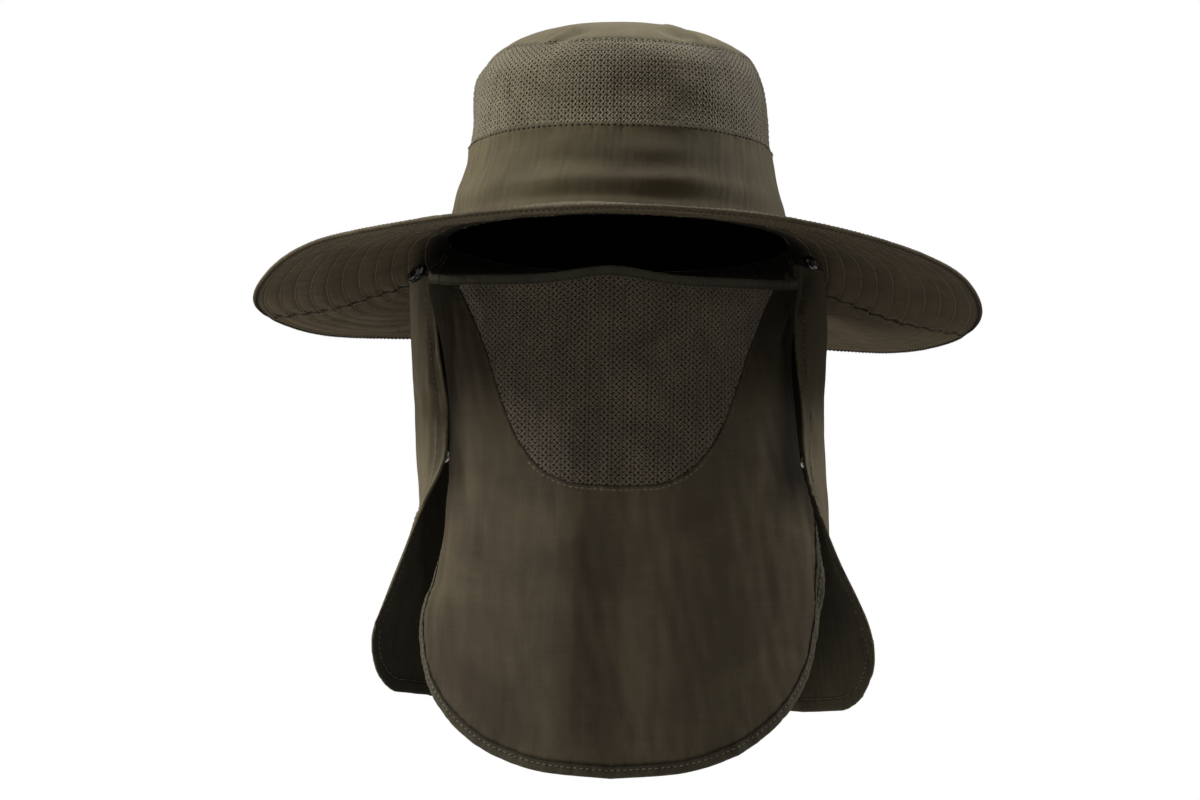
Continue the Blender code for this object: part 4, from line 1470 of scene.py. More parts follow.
@dataclass
class Brim:
    """The wide brim in two pieces, sewn through in rings."""

    crown: Crown
    half_width: float = 185.5 * MM
    half_length: float = 200 * MM
    drop: float = 36 * MM
    seam_degrees: float = 100.0
    wall: float = 2.5 * MM
    rings: tuple[float, ...] = (0.978, 0.940, 0.862, 0.784, 0.704, 0.622, 0.540, 0.455, 0.370, 0.285,
                                0.200, 0.115)
    spacing: float = 0.0815
    roll_ring: float = 0.988
    beside_seam: float = 1.6

    PUCKER = Waves(0.14, 8, 30, 21)
    WAVE = Waves(0.50, 75, 60, 23)

    def edge_drop(self, azimuth: np.ndarray) -> np.ndarray:
        """How far the edge hangs, by azimuth, evened out over a few degrees."""
        total = np.zeros(np.shape(azimuth))
        shifts = (-7, -4, 0, 4, 7)
        for shift in shifts:
            turned = turned_degrees(azimuth, shift)
            left, right = [BRIM_EDGE.at(side, np.abs(turned)) for side in ("left", "right")]
            total = total + np.where(turned >= 0, right, left)
        return self.drop * total / len(shifts)

    def fall(self, azimuth: np.ndarray, out: np.ndarray) -> np.ndarray:
        """How far the brim has fallen at a share of the way out."""
        dip = BRIM_EDGE.at("dip", np.abs(turned_degrees(azimuth)))
        share = BRIM_FALL.at("plain", out) * (1 - dip) + BRIM_FALL.at("dipped", out) * dip
        return self.edge_drop(azimuth) * share

    def surface(self, azimuth: np.ndarray, out: np.ndarray) -> np.ndarray:
        """Points of the middle surface.

        Args:
            azimuth: In radians from the front to the right.
            out: The share of the way from the seam to the edge.

        Returns:
            The points.
        """
        x0, y0 = oval(self.crown.half_width, self.crown.half_length, 2.05, azimuth)
        x1, y1 = oval(self.half_width, self.half_length, 2.0, azimuth)
        return np.stack(np.broadcast_arrays(x0 + (x1 - x0) * out, y0 + (y1 - y0) * out,
                                            -self.fall(azimuth, out)), axis=-1)

    def height(self, x: np.ndarray, y: np.ndarray) -> np.ndarray:
        """The height of the middle surface over a place near the crown."""
        azimuth = np.arctan2(x / self.crown.half_width, -y / self.crown.half_length)
        inner, outer = [self.surface(azimuth, np.full_like(x, out)) for out in (0.0, 1.0)]
        near, far = [np.hypot(end[..., 0], end[..., 1]) for end in (inner, outer)]
        return -self.fall(azimuth, np.maximum((np.hypot(x, y) - near) / (far - near), 0.0))

    def piece(self, name: str, node: str, start: float, end: float, columns: int, finishes: Finishes
              ) -> bpy.types.Object:
        """One piece of the brim between two side seams.

        Args:
            name: The piece's name.
            node: The solid that it stands for.
            start: The azimuth of one seam, in degrees.
            end: The azimuth of the other.
            columns: How many columns its grid has.
            finishes: The materials.

        Returns:
            The piece.
        """
        width = 98 * MM
        outs = 1 - edge_steps(10, 5 * MM, self.wall) / width
        outs = np.concatenate([outs, np.linspace(1 - 6 * MM / width, 0.0, 96)])[:, None]
        turns = np.radians(np.linspace(start, end, columns + 1))[None, :]
        grid = self.surface(turns, outs)
        from_edge, along = (1 - outs) * width, outs * width
        from_seam = (np.minimum(turns - turns[:, :1], turns[:, -1:] - turns)) * (90 * MM + along)
        sewn = sum(bell(along, ring * width, 1.2 * MM) for ring in self.rings)
        # Painted shade along a line just inside the rolled edge
        worn = bell(along, (self.roll_ring - 0.004) * width, 0.9 * MM)
        u = turns * 140 * MM
        calm = 1 - 0.75 * near_edge(from_edge, 24 * MM)
        pucker = self.PUCKER.at(u, along) * calm
        wave = self.WAVE.at(u, along) * np.clip(outs * 6, 0, 1) * calm
        gather = 0.6 * MM * near_edge(from_seam, 11 * MM) * np.sin(2 * math.pi * outs / self.spacing)
        out = pucker + gather + wave * np.clip(from_seam / (30 * MM), 0, 1)
        grid = grid + Cloth.normals(grid, False) * out[..., None]
        puff = 0.25 * MM * near_edge(from_seam, 3.5 * MM) - 0.8 * MM * near_edge(from_seam, 0.9 * MM)
        wall = np.maximum(rolled(from_edge, self.wall) - 1.0 * MM * sewn + puff, 0.5 * MM)
        flat = np.stack(np.broadcast_arrays(u, along), axis=-1)
        seam = np.maximum(near_edge(from_edge, 3 * MM), near_edge(from_seam, 4 * MM))
        # Painted shade: faint along the sewn rings, strong on the line inside the rolled edge and beside
        # the side seams
        groove_and_shade = np.clip(0.12 * sewn + 1.1 * worn + 1.5 * near_edge(from_seam, 2.8 * MM), 0, 1)
        paints = (finishes.brim, finishes.under)
        return dress(Cloth.shell(name, grid, wall, flat, paints, seam=seam, groove_and_shade=groove_and_shade), node)

    def build(self, finishes: Finishes) -> list[bpy.types.Object]:
        """Both pieces of the brim."""
        side = self.seam_degrees
        return [self.piece("brim_front_cloth", "brim_front", -side, side, 420, finishes),
                self.piece("brim_back_cloth", "brim_back", side, 360 - side, 340, finishes)]

    def ring_row(self, out: float, side: Face) -> StitchRow:
        """A row of stitches all round at a share of the way out."""
        turns = np.linspace(-math.pi, math.pi, 1081)
        return (*line_on(self.surface, turns, np.full_like(turns, out), upwards), side)

    def seam_row(self, degrees: float, side: Face) -> StitchRow:
        """A row of stitches from the crown to the rim at one azimuth."""
        outs = np.linspace(0.04, 0.975, 180)
        return (*line_on(self.surface, np.full_like(outs, math.radians(degrees)), outs, upwards), side)

    def build_stitches(self, finishes: Finishes, sewing: Sewing, cloth: Sequence[bpy.types.Object]) -> None:
        """The rings of stitches on both faces, and the rows beside the side seams."""
        beside = [way * (self.seam_degrees + shift) for shift in (-self.beside_seam, self.beside_seam)
                  for way in (-1, 1)]
        for name, side in (("brim_stitches_top", Face.OUTER), ("brim_stitches_under", Face.INNER)):
            lines = [self.ring_row(ring, side) for ring in self.rings[1:]]
            lines += [self.seam_row(degrees, side) for degrees in beside]
            sewing.sew(name, lines, cloth, finishes.thread, length=2.5 * MM, radius=0.34 * MM)
        lines = [self.ring_row(self.rings[0], Face.OUTER), self.ring_row(self.roll_ring, Face.INNER)]
        sewing.sew("brim_edge_stitches", lines, cloth, finishes.dark_thread, pitch=2.7 * MM,
                   length=1.9 * MM, radius=0.46 * MM)


@dataclass
class FacePanel:
    """The panel that hangs before the face, with its hem, net insert, cloth and bound edge."""

    half_width: float = 100 * MM
    top: float = -28.5 * MM
    length: float = 245 * MM
    half_top: float = 150 * MM
    corner_rise: float = 15.5 * MM
    arch: float = 4.4 * MM
    hem: float = 5.0 * MM
    binding: float = 5.8 * MM
    wall: float = 1.2 * MM
    hem_wall: float = 2.2 * MM
    net_wall: float = 0.8 * MM
    tuck: float = 1.2 * MM
    net_across: float = 3.7 * MM
    net_down: float = 1.5 * MM
    net_behind: float = 0.9 * MM
    hem_sewn: float = 0.9 * MM
    binding_sewn: float = 1.9 * MM
    sewn_reach: float = 0.5 * MM
    deepest: float = 0.1
    spread: float = 1.15
    plans: np.ndarray = field(init=False)

    STEPS = 400
    CALM = (Waves(0.42, 70, 110, 31), Waves(0.16, 17, 46, 33))
    HEM_PUCKER = Waves(0.12, 9, 30, 41)
    BINDING_PUCKER = Waves(0.12, 9, 40, 43)
    SEAM_PUCKER = Waves(0.20, 8, 60, 47)

    def __post_init__(self) -> None:
        """Lay out the plan at evenly spaced depths and distances from the middle."""
        reach = np.linspace(-self.spread * self.half_top, self.spread * self.half_top, self.STEPS + 1)
        depths = np.linspace(-self.deepest, 1 + self.deepest, 97)
        self.plans = np.array([self.plan(depth, reach) for depth in depths])

    def plan(self, depth: float, across: np.ndarray) -> np.ndarray:
        """Where the panel passes at one depth share.

        Args:
            depth: The share of the length below the top.
            across: Distances along the plan from the middle.

        Returns:
            The places along X and Y.
        """
        depth = min(max(depth, 0.0), 1.0)
        result = np.zeros((len(across), 2))
        for side, sign in (("left", -1), ("right", 1)):
            width, front, widest = [float(FACE.at(name, depth)) * self.half_width
                                    for name in (side, "front", "widest")]
            quarter = np.linspace(0, math.pi / 2, 48)
            x, y = oval(width, widest - front, float(FACE.at("boxy", depth)), quarter)
            tail = np.linspace(0, 0.9 * self.half_width, 10)[1:]
            x = np.append(x, width - float(FACE.at("taper", depth)) * tail)
            y = np.append(y + widest, widest + tail)
            lengths = run_along(np.stack([x, y], axis=1))
            chosen = across * sign >= 0
            result[chosen, 0] = sign * np.interp(np.abs(across[chosen]), lengths, x)
            result[chosen, 1] = np.interp(np.abs(across[chosen]), lengths, y)
        return result

    def surface(self, across: np.ndarray, down: np.ndarray) -> np.ndarray:
        """Points of the middle surface.

        Args:
            across: The distance from the middle line, to the right.
            down: The distance from the top edge.

        Returns:
            The points.
        """
        across, down = np.broadcast_arrays(across, down)
        share = np.minimum(np.abs(across) / self.half_top, 1.1)
        z = self.top + self.corner_rise * share ** 3 - down
        depth = (self.top - z) / self.length
        z = z + self.arch * (bell(across, -4 * MM, 22 * MM) - 1) * near_edge(down, 70 * MM)
        last = len(self.plans) - 1
        row = np.clip((depth + self.deepest) / (1 + 2 * self.deepest) * last, 0, last)
        column = np.clip((across / (self.spread * self.half_top) + 1) / 2 * self.STEPS, 0, self.STEPS)
        place = between(self.plans, row, column)
        out = swell(FACE_FOLDS, across / self.half_top, down / self.length)
        return np.stack([place[..., 0], place[..., 1] - out, z], axis=-1)

    def relief(self, across: np.ndarray, down: np.ndarray) -> np.ndarray:
        """How far finer folds and wrinkles stand out of the middle surface."""
        calm = np.clip((down - self.hem) / (8 * MM), 0, 1) * 0.9 + 0.1
        waves = sum(each.at(across, down) for each in self.CALM)
        return (creased(FACE_CREASES, across, down) + waves) * calm

    def cloth(self, name: str, flat: np.ndarray, wall: np.ndarray | float,
              paints: Sequence[bpy.types.Material],
              seam: np.ndarray, extra: np.ndarray, groove_and_shade: np.ndarray) -> bpy.types.Object:
        """A shell over a grid of flat places.

        Args:
            name: The piece's name.
            flat: The grid, as distances across and down.
            wall: Its wall, or one a point.
            paints: Its materials.
            seam: How near each point is to a seam.
            extra: How much further out each point stands.
            groove_and_shade: How much painted shade darkens each point, along its sewn lines and where
                other parts shade it.

        Returns:
            The piece.
        """
        across, down = flat[..., 0], flat[..., 1]
        grid = self.surface(across, down)
        facing = self.outward(across, down)
        grid = grid + facing * (self.relief(across, down) + extra)[..., None]
        turned = Cloth.normals(grid, False)
        turned = turned * np.sign((turned * facing).sum(-1, keepdims=True).mean())
        return Cloth.shell(name, grid, wall, flat, paints, seam=seam, facing=turned, groove_and_shade=groove_and_shade)

    def outward(self, across: np.ndarray, down: np.ndarray) -> np.ndarray:
        """The outward way at flat places."""
        step = 0.2 * MM
        along = self.surface(across + step, down) - self.surface(across - step, down)
        fall = self.surface(across, down + step) - self.surface(across, down - step)
        facing = np.cross(fall, along)
        facing /= np.linalg.norm(facing, axis=-1, keepdims=True)
        middle = from_axis(self.surface(across, down))
        return facing * np.sign((facing * middle).sum(-1, keepdims=True))

    def curve(self, table: Table, count: int, inset: float = 0.0) -> np.ndarray:
        """A curve of the panel laid flat, from its top left round the bottom to its top right.

        Args:
            table: The curve in shares.
            count: How many steps.
            inset: How far it is set in.

        Returns:
            The flat places.
        """
        path = np.linspace(-1, 1, 401)
        top = self.hem - self.tuck
        across = np.sign(path) * table.at("across", np.abs(path)) * self.half_top
        down = top + table.at("down", np.abs(path)) * (self.length - top)
        run = np.gradient(across)
        fall = np.gradient(down)
        size = np.hypot(run, fall)
        across = across + fall / size * inset
        down = np.maximum(down - run / size * inset, top)
        down[0] = top
        down[-1] = top
        lengths = run_along(np.stack([across, down], axis=1))
        places = np.linspace(0, lengths[-1], count + 1)
        return np.stack([np.interp(places, lengths, across), np.interp(places, lengths, down)], axis=1)

    def build_hem(self, finishes: Finishes) -> bpy.types.Object:
        """The folded hem along the top, rolled at its upper edge, with painted shade darkening its ends."""
        across = np.linspace(-self.half_top, self.half_top, 301)
        flat = np.stack(np.meshgrid(across, edge_steps(9, self.hem, self.hem_wall)), axis=-1)
        across, down = flat[..., 0], flat[..., 1]
        wall = rolled(down, self.hem_wall)
        wall = wall - 0.5 * MM * bell(down, self.hem - self.hem_sewn, self.sewn_reach)
        # Painted shade towards the hem's ends
        aside = np.abs(self.surface(across, down)[..., 0]) - 66 * MM
        groove_and_shade = 0.95 * np.clip(aside / (14 * MM), 0, 1)
        piece = self.cloth("top_hem", flat, wall, (finishes.hem,), near_edge(down, 2 * MM),
                           self.HEM_PUCKER.at(across, down), groove_and_shade)
        return dress(piece, "face_top_hem")

    def build_binding(self, finishes: Finishes) -> bpy.types.Object:
        """The folded binding round the sides and bottom, rounded at its outer edge."""
        steps = edge_steps(9, self.binding, self.hem_wall)
        flat = np.stack([self.curve(FACE_OUTER, 520, inset=step) for step in steps])
        along = np.linspace(0, 1, 521)[None, :] * 700 * MM
        steps = steps[:, None] + 0 * along
        inner = self.binding - steps
        sewn = bell(inner, self.binding_sewn, self.sewn_reach)
        wall = np.maximum(rolled(steps, self.hem_wall) - 0.45 * MM * sewn, 0.3 * MM)
        groove_and_shade = np.clip(1.2 * near_edge(inner, 0.9 * MM) + 0.6 * sewn, 0, 1)
        piece = self.cloth("edge_binding", flat, wall, (finishes.trim,), near_edge(steps, 2 * MM),
                           self.BINDING_PUCKER.at(along, steps), groove_and_shade)
        return dress(piece, "face_edge_binding")

    def build_panel(self, finishes: Finishes) -> bpy.types.Object:
        """The plain cloth between the net insert and the binding, with painted shade where the flap and the
        brim shade it.
        """
        inner = self.curve(FACE_INNER, 360)
        outer = self.curve(FACE_OUTER, 360, inset=self.binding - self.tuck)
        share = 0.5 * (0.5 - 0.5 * np.cos(np.linspace(0, math.pi, 71))) + 0.5 * np.linspace(0, 1, 71)
        share = share[:, None, None]
        flat = inner[None] * (1 - share) + outer[None] * share
        reach = np.linalg.norm(outer - inner, axis=1)[None, :]
        from_inner, from_outer = share[..., 0] * reach, (1 - share[..., 0]) * reach
        along = np.linspace(0, 700 * MM, 361)[None, :]
        pucker = near_edge(from_outer, 12 * MM) + 0.7 * near_edge(from_inner, 8 * MM)
        lip = 0.35 * MM * near_edge(from_inner, 4 * MM) - 0.5 * MM * near_edge(from_inner, 0.8 * MM)
        extra = pucker * self.SEAM_PUCKER.at(along, from_outer) + lip
        seam = np.maximum(near_edge(from_outer, 4 * MM), near_edge(from_inner, 4 * MM))
        sewn = np.maximum(near_edge(from_outer - self.tuck, 1.6 * MM), near_edge(from_inner, 1.7 * MM))
        place = self.surface(flat[..., 0], flat[..., 1])
        # Painted shade beside the flap's front edges, fading out lower down, and painted shadow of the
        # brim, strongest at the top
        aside = np.maximum(-place[..., 0] - 68 * MM, place[..., 0] - 70 * MM) / (12 * MM)
        behind = np.clip(aside, 0, 1) * np.clip((152 * MM + place[..., 2]) / (26 * MM), 0, 1)
        under = 0.95 * near_edge(flat[..., 1], 115 * MM)
        groove_and_shade = np.clip(np.maximum(sewn, np.maximum(behind, under)), 0, 1)
        paints = (finishes.face, finishes.face_inside)
        return dress(self.cloth("face_cloth", flat, self.wall, paints, seam, extra, groove_and_shade), "face_flap")

    def build_net(self, finishes: Finishes, growth: Growth) -> bpy.types.Object:
        """The net insert, its outline brought to the curve of its seam."""
        edge = self.curve(FACE_INNER, 900, inset=-self.tuck)
        top = edge[0, 1]

        def place(u: np.ndarray, v: np.ndarray) -> np.ndarray:
            """Points of the panel for flat places."""
            return self.surface(u, v) + self.outward(u, v) * self.relief(u, v)[..., None]

        def fit(u: np.ndarray, v: np.ndarray) -> tuple[np.ndarray, np.ndarray, np.ndarray]:
            """Bring places beyond the seam onto it."""
            left, right = edge[edge[:, 0] < 0], edge[edge[:, 0] >= 0]
            limit_left = np.interp(v, left[:, 1], left[:, 0], left=left[0, 0], right=1.0)
            limit_right = np.interp(v, right[::-1, 1], right[::-1, 0], left=right[-1, 0], right=-1.0)
            outside = (v < top) | (u < limit_left) | (u > limit_right)
            where = np.stack([u[outside], v[outside]], axis=1)
            far = np.linalg.norm(where[:, None] - edge[None], axis=2)
            near = edge[far.argmin(axis=1)]
            above = (where[:, 1] < top) & (np.abs(where[:, 0]) < abs(edge[0, 0]))
            near[above, 0] = where[above, 0]
            near[above, 1] = top
            u, v = u.copy(), v.copy()
            u[outside], v[outside] = near[:, 0], near[:, 1]
            return u, v, outside

        half = int(abs(edge[0, 0]) / self.net_across) + 2
        rows = range(int(top / self.net_down) - 1, int(edge[:, 1].max() / self.net_down) + 3)
        ground = Net.cells(range(-half, half + 1), rows, self.net_across, self.net_down, place, fit)
        piece = growth.net("net_insert", ground, self.net_wall, finishes.face_net, self.net_behind,
                           finishes.shade_sheet)
        return dress(piece, "face_net")

    def build_stitches(self, finishes: Finishes, sewing: Sewing, cloth: Sequence[bpy.types.Object]) -> None:
        """Stitches in the binding, round the net insert and along the hem."""
        binding = self.curve(FACE_OUTER, 700, inset=self.binding - self.binding_sewn)
        insert = self.curve(FACE_INNER, 400, inset=-2.0 * MM)[140:261]
        across = np.linspace(-0.995, 0.995, 400) * self.half_top
        hem = np.stack([across, np.full(400, self.hem - self.hem_sewn)], axis=1)
        for name, path, thread in (("binding_stitches", binding, finishes.thread),
                                   ("insert_stitches", insert, finishes.thread),
                                   ("hem_stitches", hem, finishes.dark_thread)):
            line = self.surface(path[:, 0], path[:, 1])
            facing = self.outward(path[:, 0], path[:, 1])
            rows = [(line, facing, side) for side in Face]
            sewing.sew(name, rows, cloth, thread, radius=0.32 * MM)


@dataclass
class NeckFlap:
    """The flap that hangs from ear to ear round the back, its front edges flaring at the bottom."""

    brim: Brim
    half_width: float = 100 * MM
    length: float = 233 * MM
    cut_width: float = 440 * MM
    bottom_left: float = -231 * MM
    bottom_right: float = -237 * MM
    bottom_back: float = -234 * MM
    back_share: float = 0.55
    corner_share: float = 0.79
    corner: float = 34 * MM
    first: float = -5 * MM
    wall: float = 1.2 * MM
    gap: float = 0.35 * MM
    hem: float = 6.5 * MM
    half_run: float = 300 * MM
    plans: np.ndarray = field(init=False)

    STEPS = 400
    SOFT = Waves(0.70, 62, 260, 51)
    SMALL = Waves(0.20, 19, 50, 53)
    PUCKER = Waves(0.16, 8, 16, 55)

    def __post_init__(self) -> None:
        """Lay out the plan at evenly spaced depths."""
        self.plans = np.array([self.plan(depth, self.STEPS + 1) for depth in np.linspace(0, 1, 41)])

    def plan(self, depth: float, count: int) -> np.ndarray:
        """The plan at one depth share, from the left front edge round the back to the right one.

        Args:
            depth: The share of the length below the top.
            count: How many places.

        Returns:
            The places along X and Y.
        """
        sides = []
        for table, sign in ((NECK_LEFT, -1), (NECK_RIGHT, 1)):
            value = {name: float(table.at(name, depth)) * self.half_width for name in table.columns}
            sides.append([(sign * value[part + "_x"], value[part + "_y"])
                          for part in ("front", "cheek", "side")])
        rear = {name: float(NECK_BACK.at(name, depth)) * self.half_width for name in NECK_BACK.columns}
        back = [(-rear["rear_x"], rear["rear_y"]), (0.0, rear["back_y"]), (rear["rear_x"], rear["rear_y"])]
        knots = np.array(sides[0] + back + sides[1][::-1])
        ends = np.vstack([2 * knots[0] - knots[1], knots, 2 * knots[-1] - knots[-2]])
        times = np.append(0.0, np.cumsum(np.sqrt(np.linalg.norm(np.diff(ends, axis=0), axis=1))))
        curve = []
        for i in range(1, len(ends) - 2):
            t = np.linspace(times[i], times[i + 1], 24, endpoint=i == len(ends) - 3)[:, None]
            p = ends[i - 1:i + 3]
            k = times[i - 1:i + 3]
            a = [(k[j + 1] - t) / (k[j + 1] - k[j]) * p[j] + (t - k[j]) / (k[j + 1] - k[j]) * p[j + 1]
                 for j in range(3)]
            b = [(k[j + 2] - t) / (k[j + 2] - k[j]) * a[j] + (t - k[j]) / (k[j + 2] - k[j]) * a[j + 1]
                 for j in range(2)]
            curve.append((k[2] - t) / (k[2] - k[1]) * b[0] + (t - k[1]) / (k[2] - k[1]) * b[1])
        curve = np.vstack(curve)
        lengths = run_along(curve)
        places = np.linspace(0, lengths[-1], count)
        return np.stack([np.interp(places, lengths, curve[:, i]) for i in (0, 1)], axis=1)

    def edges(self, around: np.ndarray) -> tuple[np.ndarray, np.ndarray]:
        """The heights of the top and bottom edges by the share around."""
        start = self.surface(around, np.full_like(around, self.first))
        left, right = [NECK_TOP.at(side, np.abs(around)) for side in ("left", "right")]
        low = np.where(around >= 0, right, left)
        hung = self.brim.height(start[..., 0], start[..., 1]) - self.brim.wall / 2 - 2.7 * self.gap
        top = np.minimum(-low * self.length, hung)
        front = np.where(around >= 0, self.bottom_right, self.bottom_left)
        fall = np.minimum(np.abs(around) / self.back_share, 1.0) ** 2
        bottom = self.bottom_back + (front - self.bottom_back) * fall
        turn = np.maximum((np.abs(around) - self.corner_share) / (1 - self.corner_share), 0.0)
        bottom = bottom + self.corner * (1.0 - np.sqrt(np.maximum(1.0 - turn ** 2, 0.0)))
        return top, bottom

    def surface(self, around: np.ndarray, z: np.ndarray, top: np.ndarray | float | None = None
                ) -> np.ndarray:
        """Points of the middle surface.

        Args:
            around: The share around, from -1 at the left front edge to 1 at the right one.
            z: The height.
            top: The height of the top edge there.

        Returns:
            The points.
        """
        around, z = np.broadcast_arrays(around, z)
        depth = np.clip((self.first - z) / self.length, 0, 1) * (len(self.plans) - 1)
        xy = between(self.plans, depth, np.clip((around + 1) / 2, 0, 1) * self.STEPS)
        reach = np.clip(((self.first if top is None else top) - z) / self.length * 6, 0, 1)
        out = swell(NECK_FOLDS, around, -z / self.length) * reach
        xy = xy * (1.0 + out / np.linalg.norm(xy, axis=-1))[..., None]
        return np.concatenate([xy, z[..., None]], axis=-1)

    def build(self, finishes: Finishes) -> bpy.types.Object:
        """The flap with its hems and small folds."""
        ends = 1 - edge_steps(8, 9 * MM, self.wall) / self.half_run
        shares = np.concatenate([-ends, np.linspace(-ends[-1], ends[-1], 203)[1:-1], ends[::-1]])
        top, bottom = self.edges(shares)
        last_steps = 1 - edge_steps(10, 9.5 * MM, self.wall)[::-1] / (232 * MM)
        steps = np.concatenate([np.linspace(0, 0.955, 104), last_steps])
        z = top[None, :] + (bottom - top)[None, :] * steps[:, None]
        around = np.broadcast_to(shares[None, :], z.shape)
        grid = self.surface(around, z, top[None, :])
        facing = Cloth.normals(grid, False)
        facing = facing * np.sign((facing * from_axis(grid)).sum(-1).mean())
        border = np.concatenate([grid[:, 0], grid[-1], grid[::-1, -1]])
        away = np.full(z.shape, 1.0)
        for part in np.array_split(border, 12):
            far = np.linalg.norm(grid[:, :, None] - part[None, None], axis=3).min(axis=2)
            away = np.minimum(away, far)
        hang = (top[None, :] - z) / self.length
        u = around * self.half_run
        soft = self.SOFT.at(u, z) * np.clip(hang * 4, 0, 1)
        small = self.SMALL.at(u, z) * np.clip(hang * 8, 0, 1)
        pucker = near_line(away, self.hem, 5 * MM) * self.PUCKER.at(u + z, z)
        grid = grid + facing * (soft + small + pucker + creased(NECK_CREASES, u, z))[..., None]
        wall = np.where(away > self.hem, self.wall, rolled(away, self.wall * 1.25))
        wall = np.maximum(wall - 0.4 * MM * bell(away, self.hem, 0.7 * MM), 0.35 * MM)
        seam = np.maximum(near_edge(away, 2.5 * MM), 0.6 * near_line(away, self.hem, 2 * MM))
        turned = Cloth.normals(grid, False)
        turned = turned * np.sign((turned * facing).sum(-1).mean())
        piece = Cloth.shell("neck_cloth", grid, wall, np.stack([u, z], axis=-1),
                            (finishes.neck, finishes.neck_inside_shaded), seam=seam, facing=turned,
                            groove_and_shade=bell(away, self.hem, 0.8 * MM))
        return dress(piece, "neck_flap")

    def build_stitches(self, finishes: Finishes, sewing: Sewing, cloth: Sequence[bpy.types.Object]) -> None:
        """The hem's stitches, set in from the front edges and the bottom."""
        around = np.linspace(-1, 1, 1201)
        bottom = self.edges(around)[1]
        low = self.surface(around, bottom)
        left, right = np.full(300, -1.0), np.full(300, 1.0)
        side_left = self.surface(left, np.linspace(-28 * MM, bottom[0], 300))
        side_right = self.surface(right, np.linspace(bottom[-1], -22 * MM, 300))
        border = np.concatenate([side_left[:-1], low, side_right[1:]])
        shares = np.concatenate([left[1:], around, right[1:]])
        along = np.gradient(border, axis=0)
        along /= np.maximum(np.linalg.norm(along, axis=1, keepdims=True), 1e-9)
        near = self.surface(np.clip(shares * 0.985, -1, 1), border[:, 2])
        middle = self.surface(shares * 0.93, np.maximum(border[:, 2] + 20 * MM, -0.2))
        inward = middle - border
        facing = np.cross(along, inward)
        facing /= np.linalg.norm(facing, axis=1, keepdims=True)
        facing *= np.sign((facing * from_axis(near)).sum(1, keepdims=True))
        inward = np.cross(facing, along)
        inward *= np.sign((inward * (middle - border)).sum(1, keepdims=True))
        line = border + inward * self.hem
        rows = [(line, facing, side) for side in Face]
        sewing.sew("neck_stitches", rows, cloth, finishes.thread)


@dataclass(frozen=True)
class Snap:
    """One metal snap: a dark cap outside the flap, or a bright stud inside it, turned from an outline."""

    name: str
    node: str
    around: float
    low: float
    bright: bool = False
    long: float = 1.0
    thin: float = 1.0
    tilt: float = 0.0
    cap_radius: float = 5 * MM
    stud_radius: float = 4 * MM
    cap_forward: float = 0.30

    # Both outlines as radius and height, in shares of the radius
    CAP = ((0.0, -0.40), (0.80, -0.40), (0.92, -0.38), (0.98, -0.32), (1.00, -0.22), (1.00, 0.00),
           (0.98, 0.10), (0.92, 0.18), (0.84, 0.22), (0.74, 0.23), (0.68, 0.24), (0.66, 0.34),
           (0.60, 0.42), (0.48, 0.46), (0.30, 0.48), (0.14, 0.46), (0.0, 0.44))
    STUD = ((0.0, -0.30), (0.86, -0.30), (0.96, -0.26), (1.00, -0.18), (1.00, 0.06), (0.96, 0.14),
            (0.88, 0.19), (0.74, 0.20), (0.62, 0.16), (0.50, 0.20), (0.36, 0.30), (0.20, 0.31),
            (0.0, 0.31))
    CAP_BASE = 0.55
    STUD_BASE = 0.33
    COUNT = 40

    def axes(self, here: np.ndarray, near: np.ndarray
             ) -> tuple[np.ndarray, np.ndarray, np.ndarray, np.ndarray]:
        """The snap's directions where it sits.

        Args:
            here: Its place on the flap.
            near: A place a little way off at the same height.

        Returns:
            The outward way, the snap's axis and its two half widths, tilted and stretched.
        """
        along = (here - near) / np.linalg.norm(here - near)
        out = np.array([-along[1], along[0], 0.0])
        out *= np.sign(out[0] * self.around)
        forward = 0.0 if self.bright else self.cap_forward
        axis = out + np.array([0.0, -forward, -forward / 2])
        axis /= np.linalg.norm(axis)
        side = np.cross(axis, (0.0, 0.0, 1.0))
        side /= np.linalg.norm(side)
        other = np.cross(axis, side)
        c, s = math.cos(math.radians(self.tilt)), math.sin(math.radians(self.tilt))
        return out, axis, (side * c + other * s) * self.long, (other * c - side * s) * self.thin

    def build(self, neck: NeckFlap, finishes: Finishes) -> bpy.types.Object:
        """Turn the snap on the flap's surface.

        Args:
            neck: The flap that it sits on.
            finishes: The materials.

        Returns:
            The piece.
        """
        size = self.stud_radius if self.bright else self.cap_radius
        seat = neck.wall / 2 + neck.gap
        stand_off = -(seat + size * self.STUD_BASE) if self.bright else seat + size * self.CAP_BASE
        z = np.array(-self.low * neck.length)
        here, near = [neck.surface(np.array(self.around - shift * np.sign(self.around)), z)
                      for shift in (0.0, 0.01)]
        out, axis, side, other = self.axes(here, near)
        centre = here + out * stand_off
        work = bmesh.new()
        rings = []
        turns = [2 * math.pi * k / self.COUNT for k in range(self.COUNT)]
        ways = [side * math.cos(turn) + other * math.sin(turn) for turn in turns]
        for radius, height in self.STUD if self.bright else self.CAP:
            rings.append([work.verts.new(centre + (axis * height + way * radius) * size)
                          for way in (ways if radius else ways[:1])])
        for low, high in zip(rings, rings[1:]):
            for k in range(self.COUNT):
                n = (k + 1) % self.COUNT
                corners = [low[k % len(low)], low[n % len(low)], high[n % len(high)], high[k % len(high)]]
                work.faces.new(list(dict.fromkeys(corners)))
        mesh = bpy.data.meshes.new(self.name)
        work.to_mesh(mesh)
        work.free()
        paint = finishes.bright if self.bright else finishes.metal
        return dress(Cloth.closed(self.name, mesh, (paint,)), self.node)


SNAPS = (
    Snap("cap_left", "snap_brim_left", -0.955, 0.091, long=1.40, thin=0.58, tilt=30),
    Snap("cap_right", "snap_brim_right", 0.952, 0.056, long=1.05, thin=0.60, tilt=-30),
    Snap("stud_left", "snap_side_left", -0.980, 0.485, bright=True),
    Snap("stud_right", "snap_side_right", 0.980, 0.485, bright=True),
)


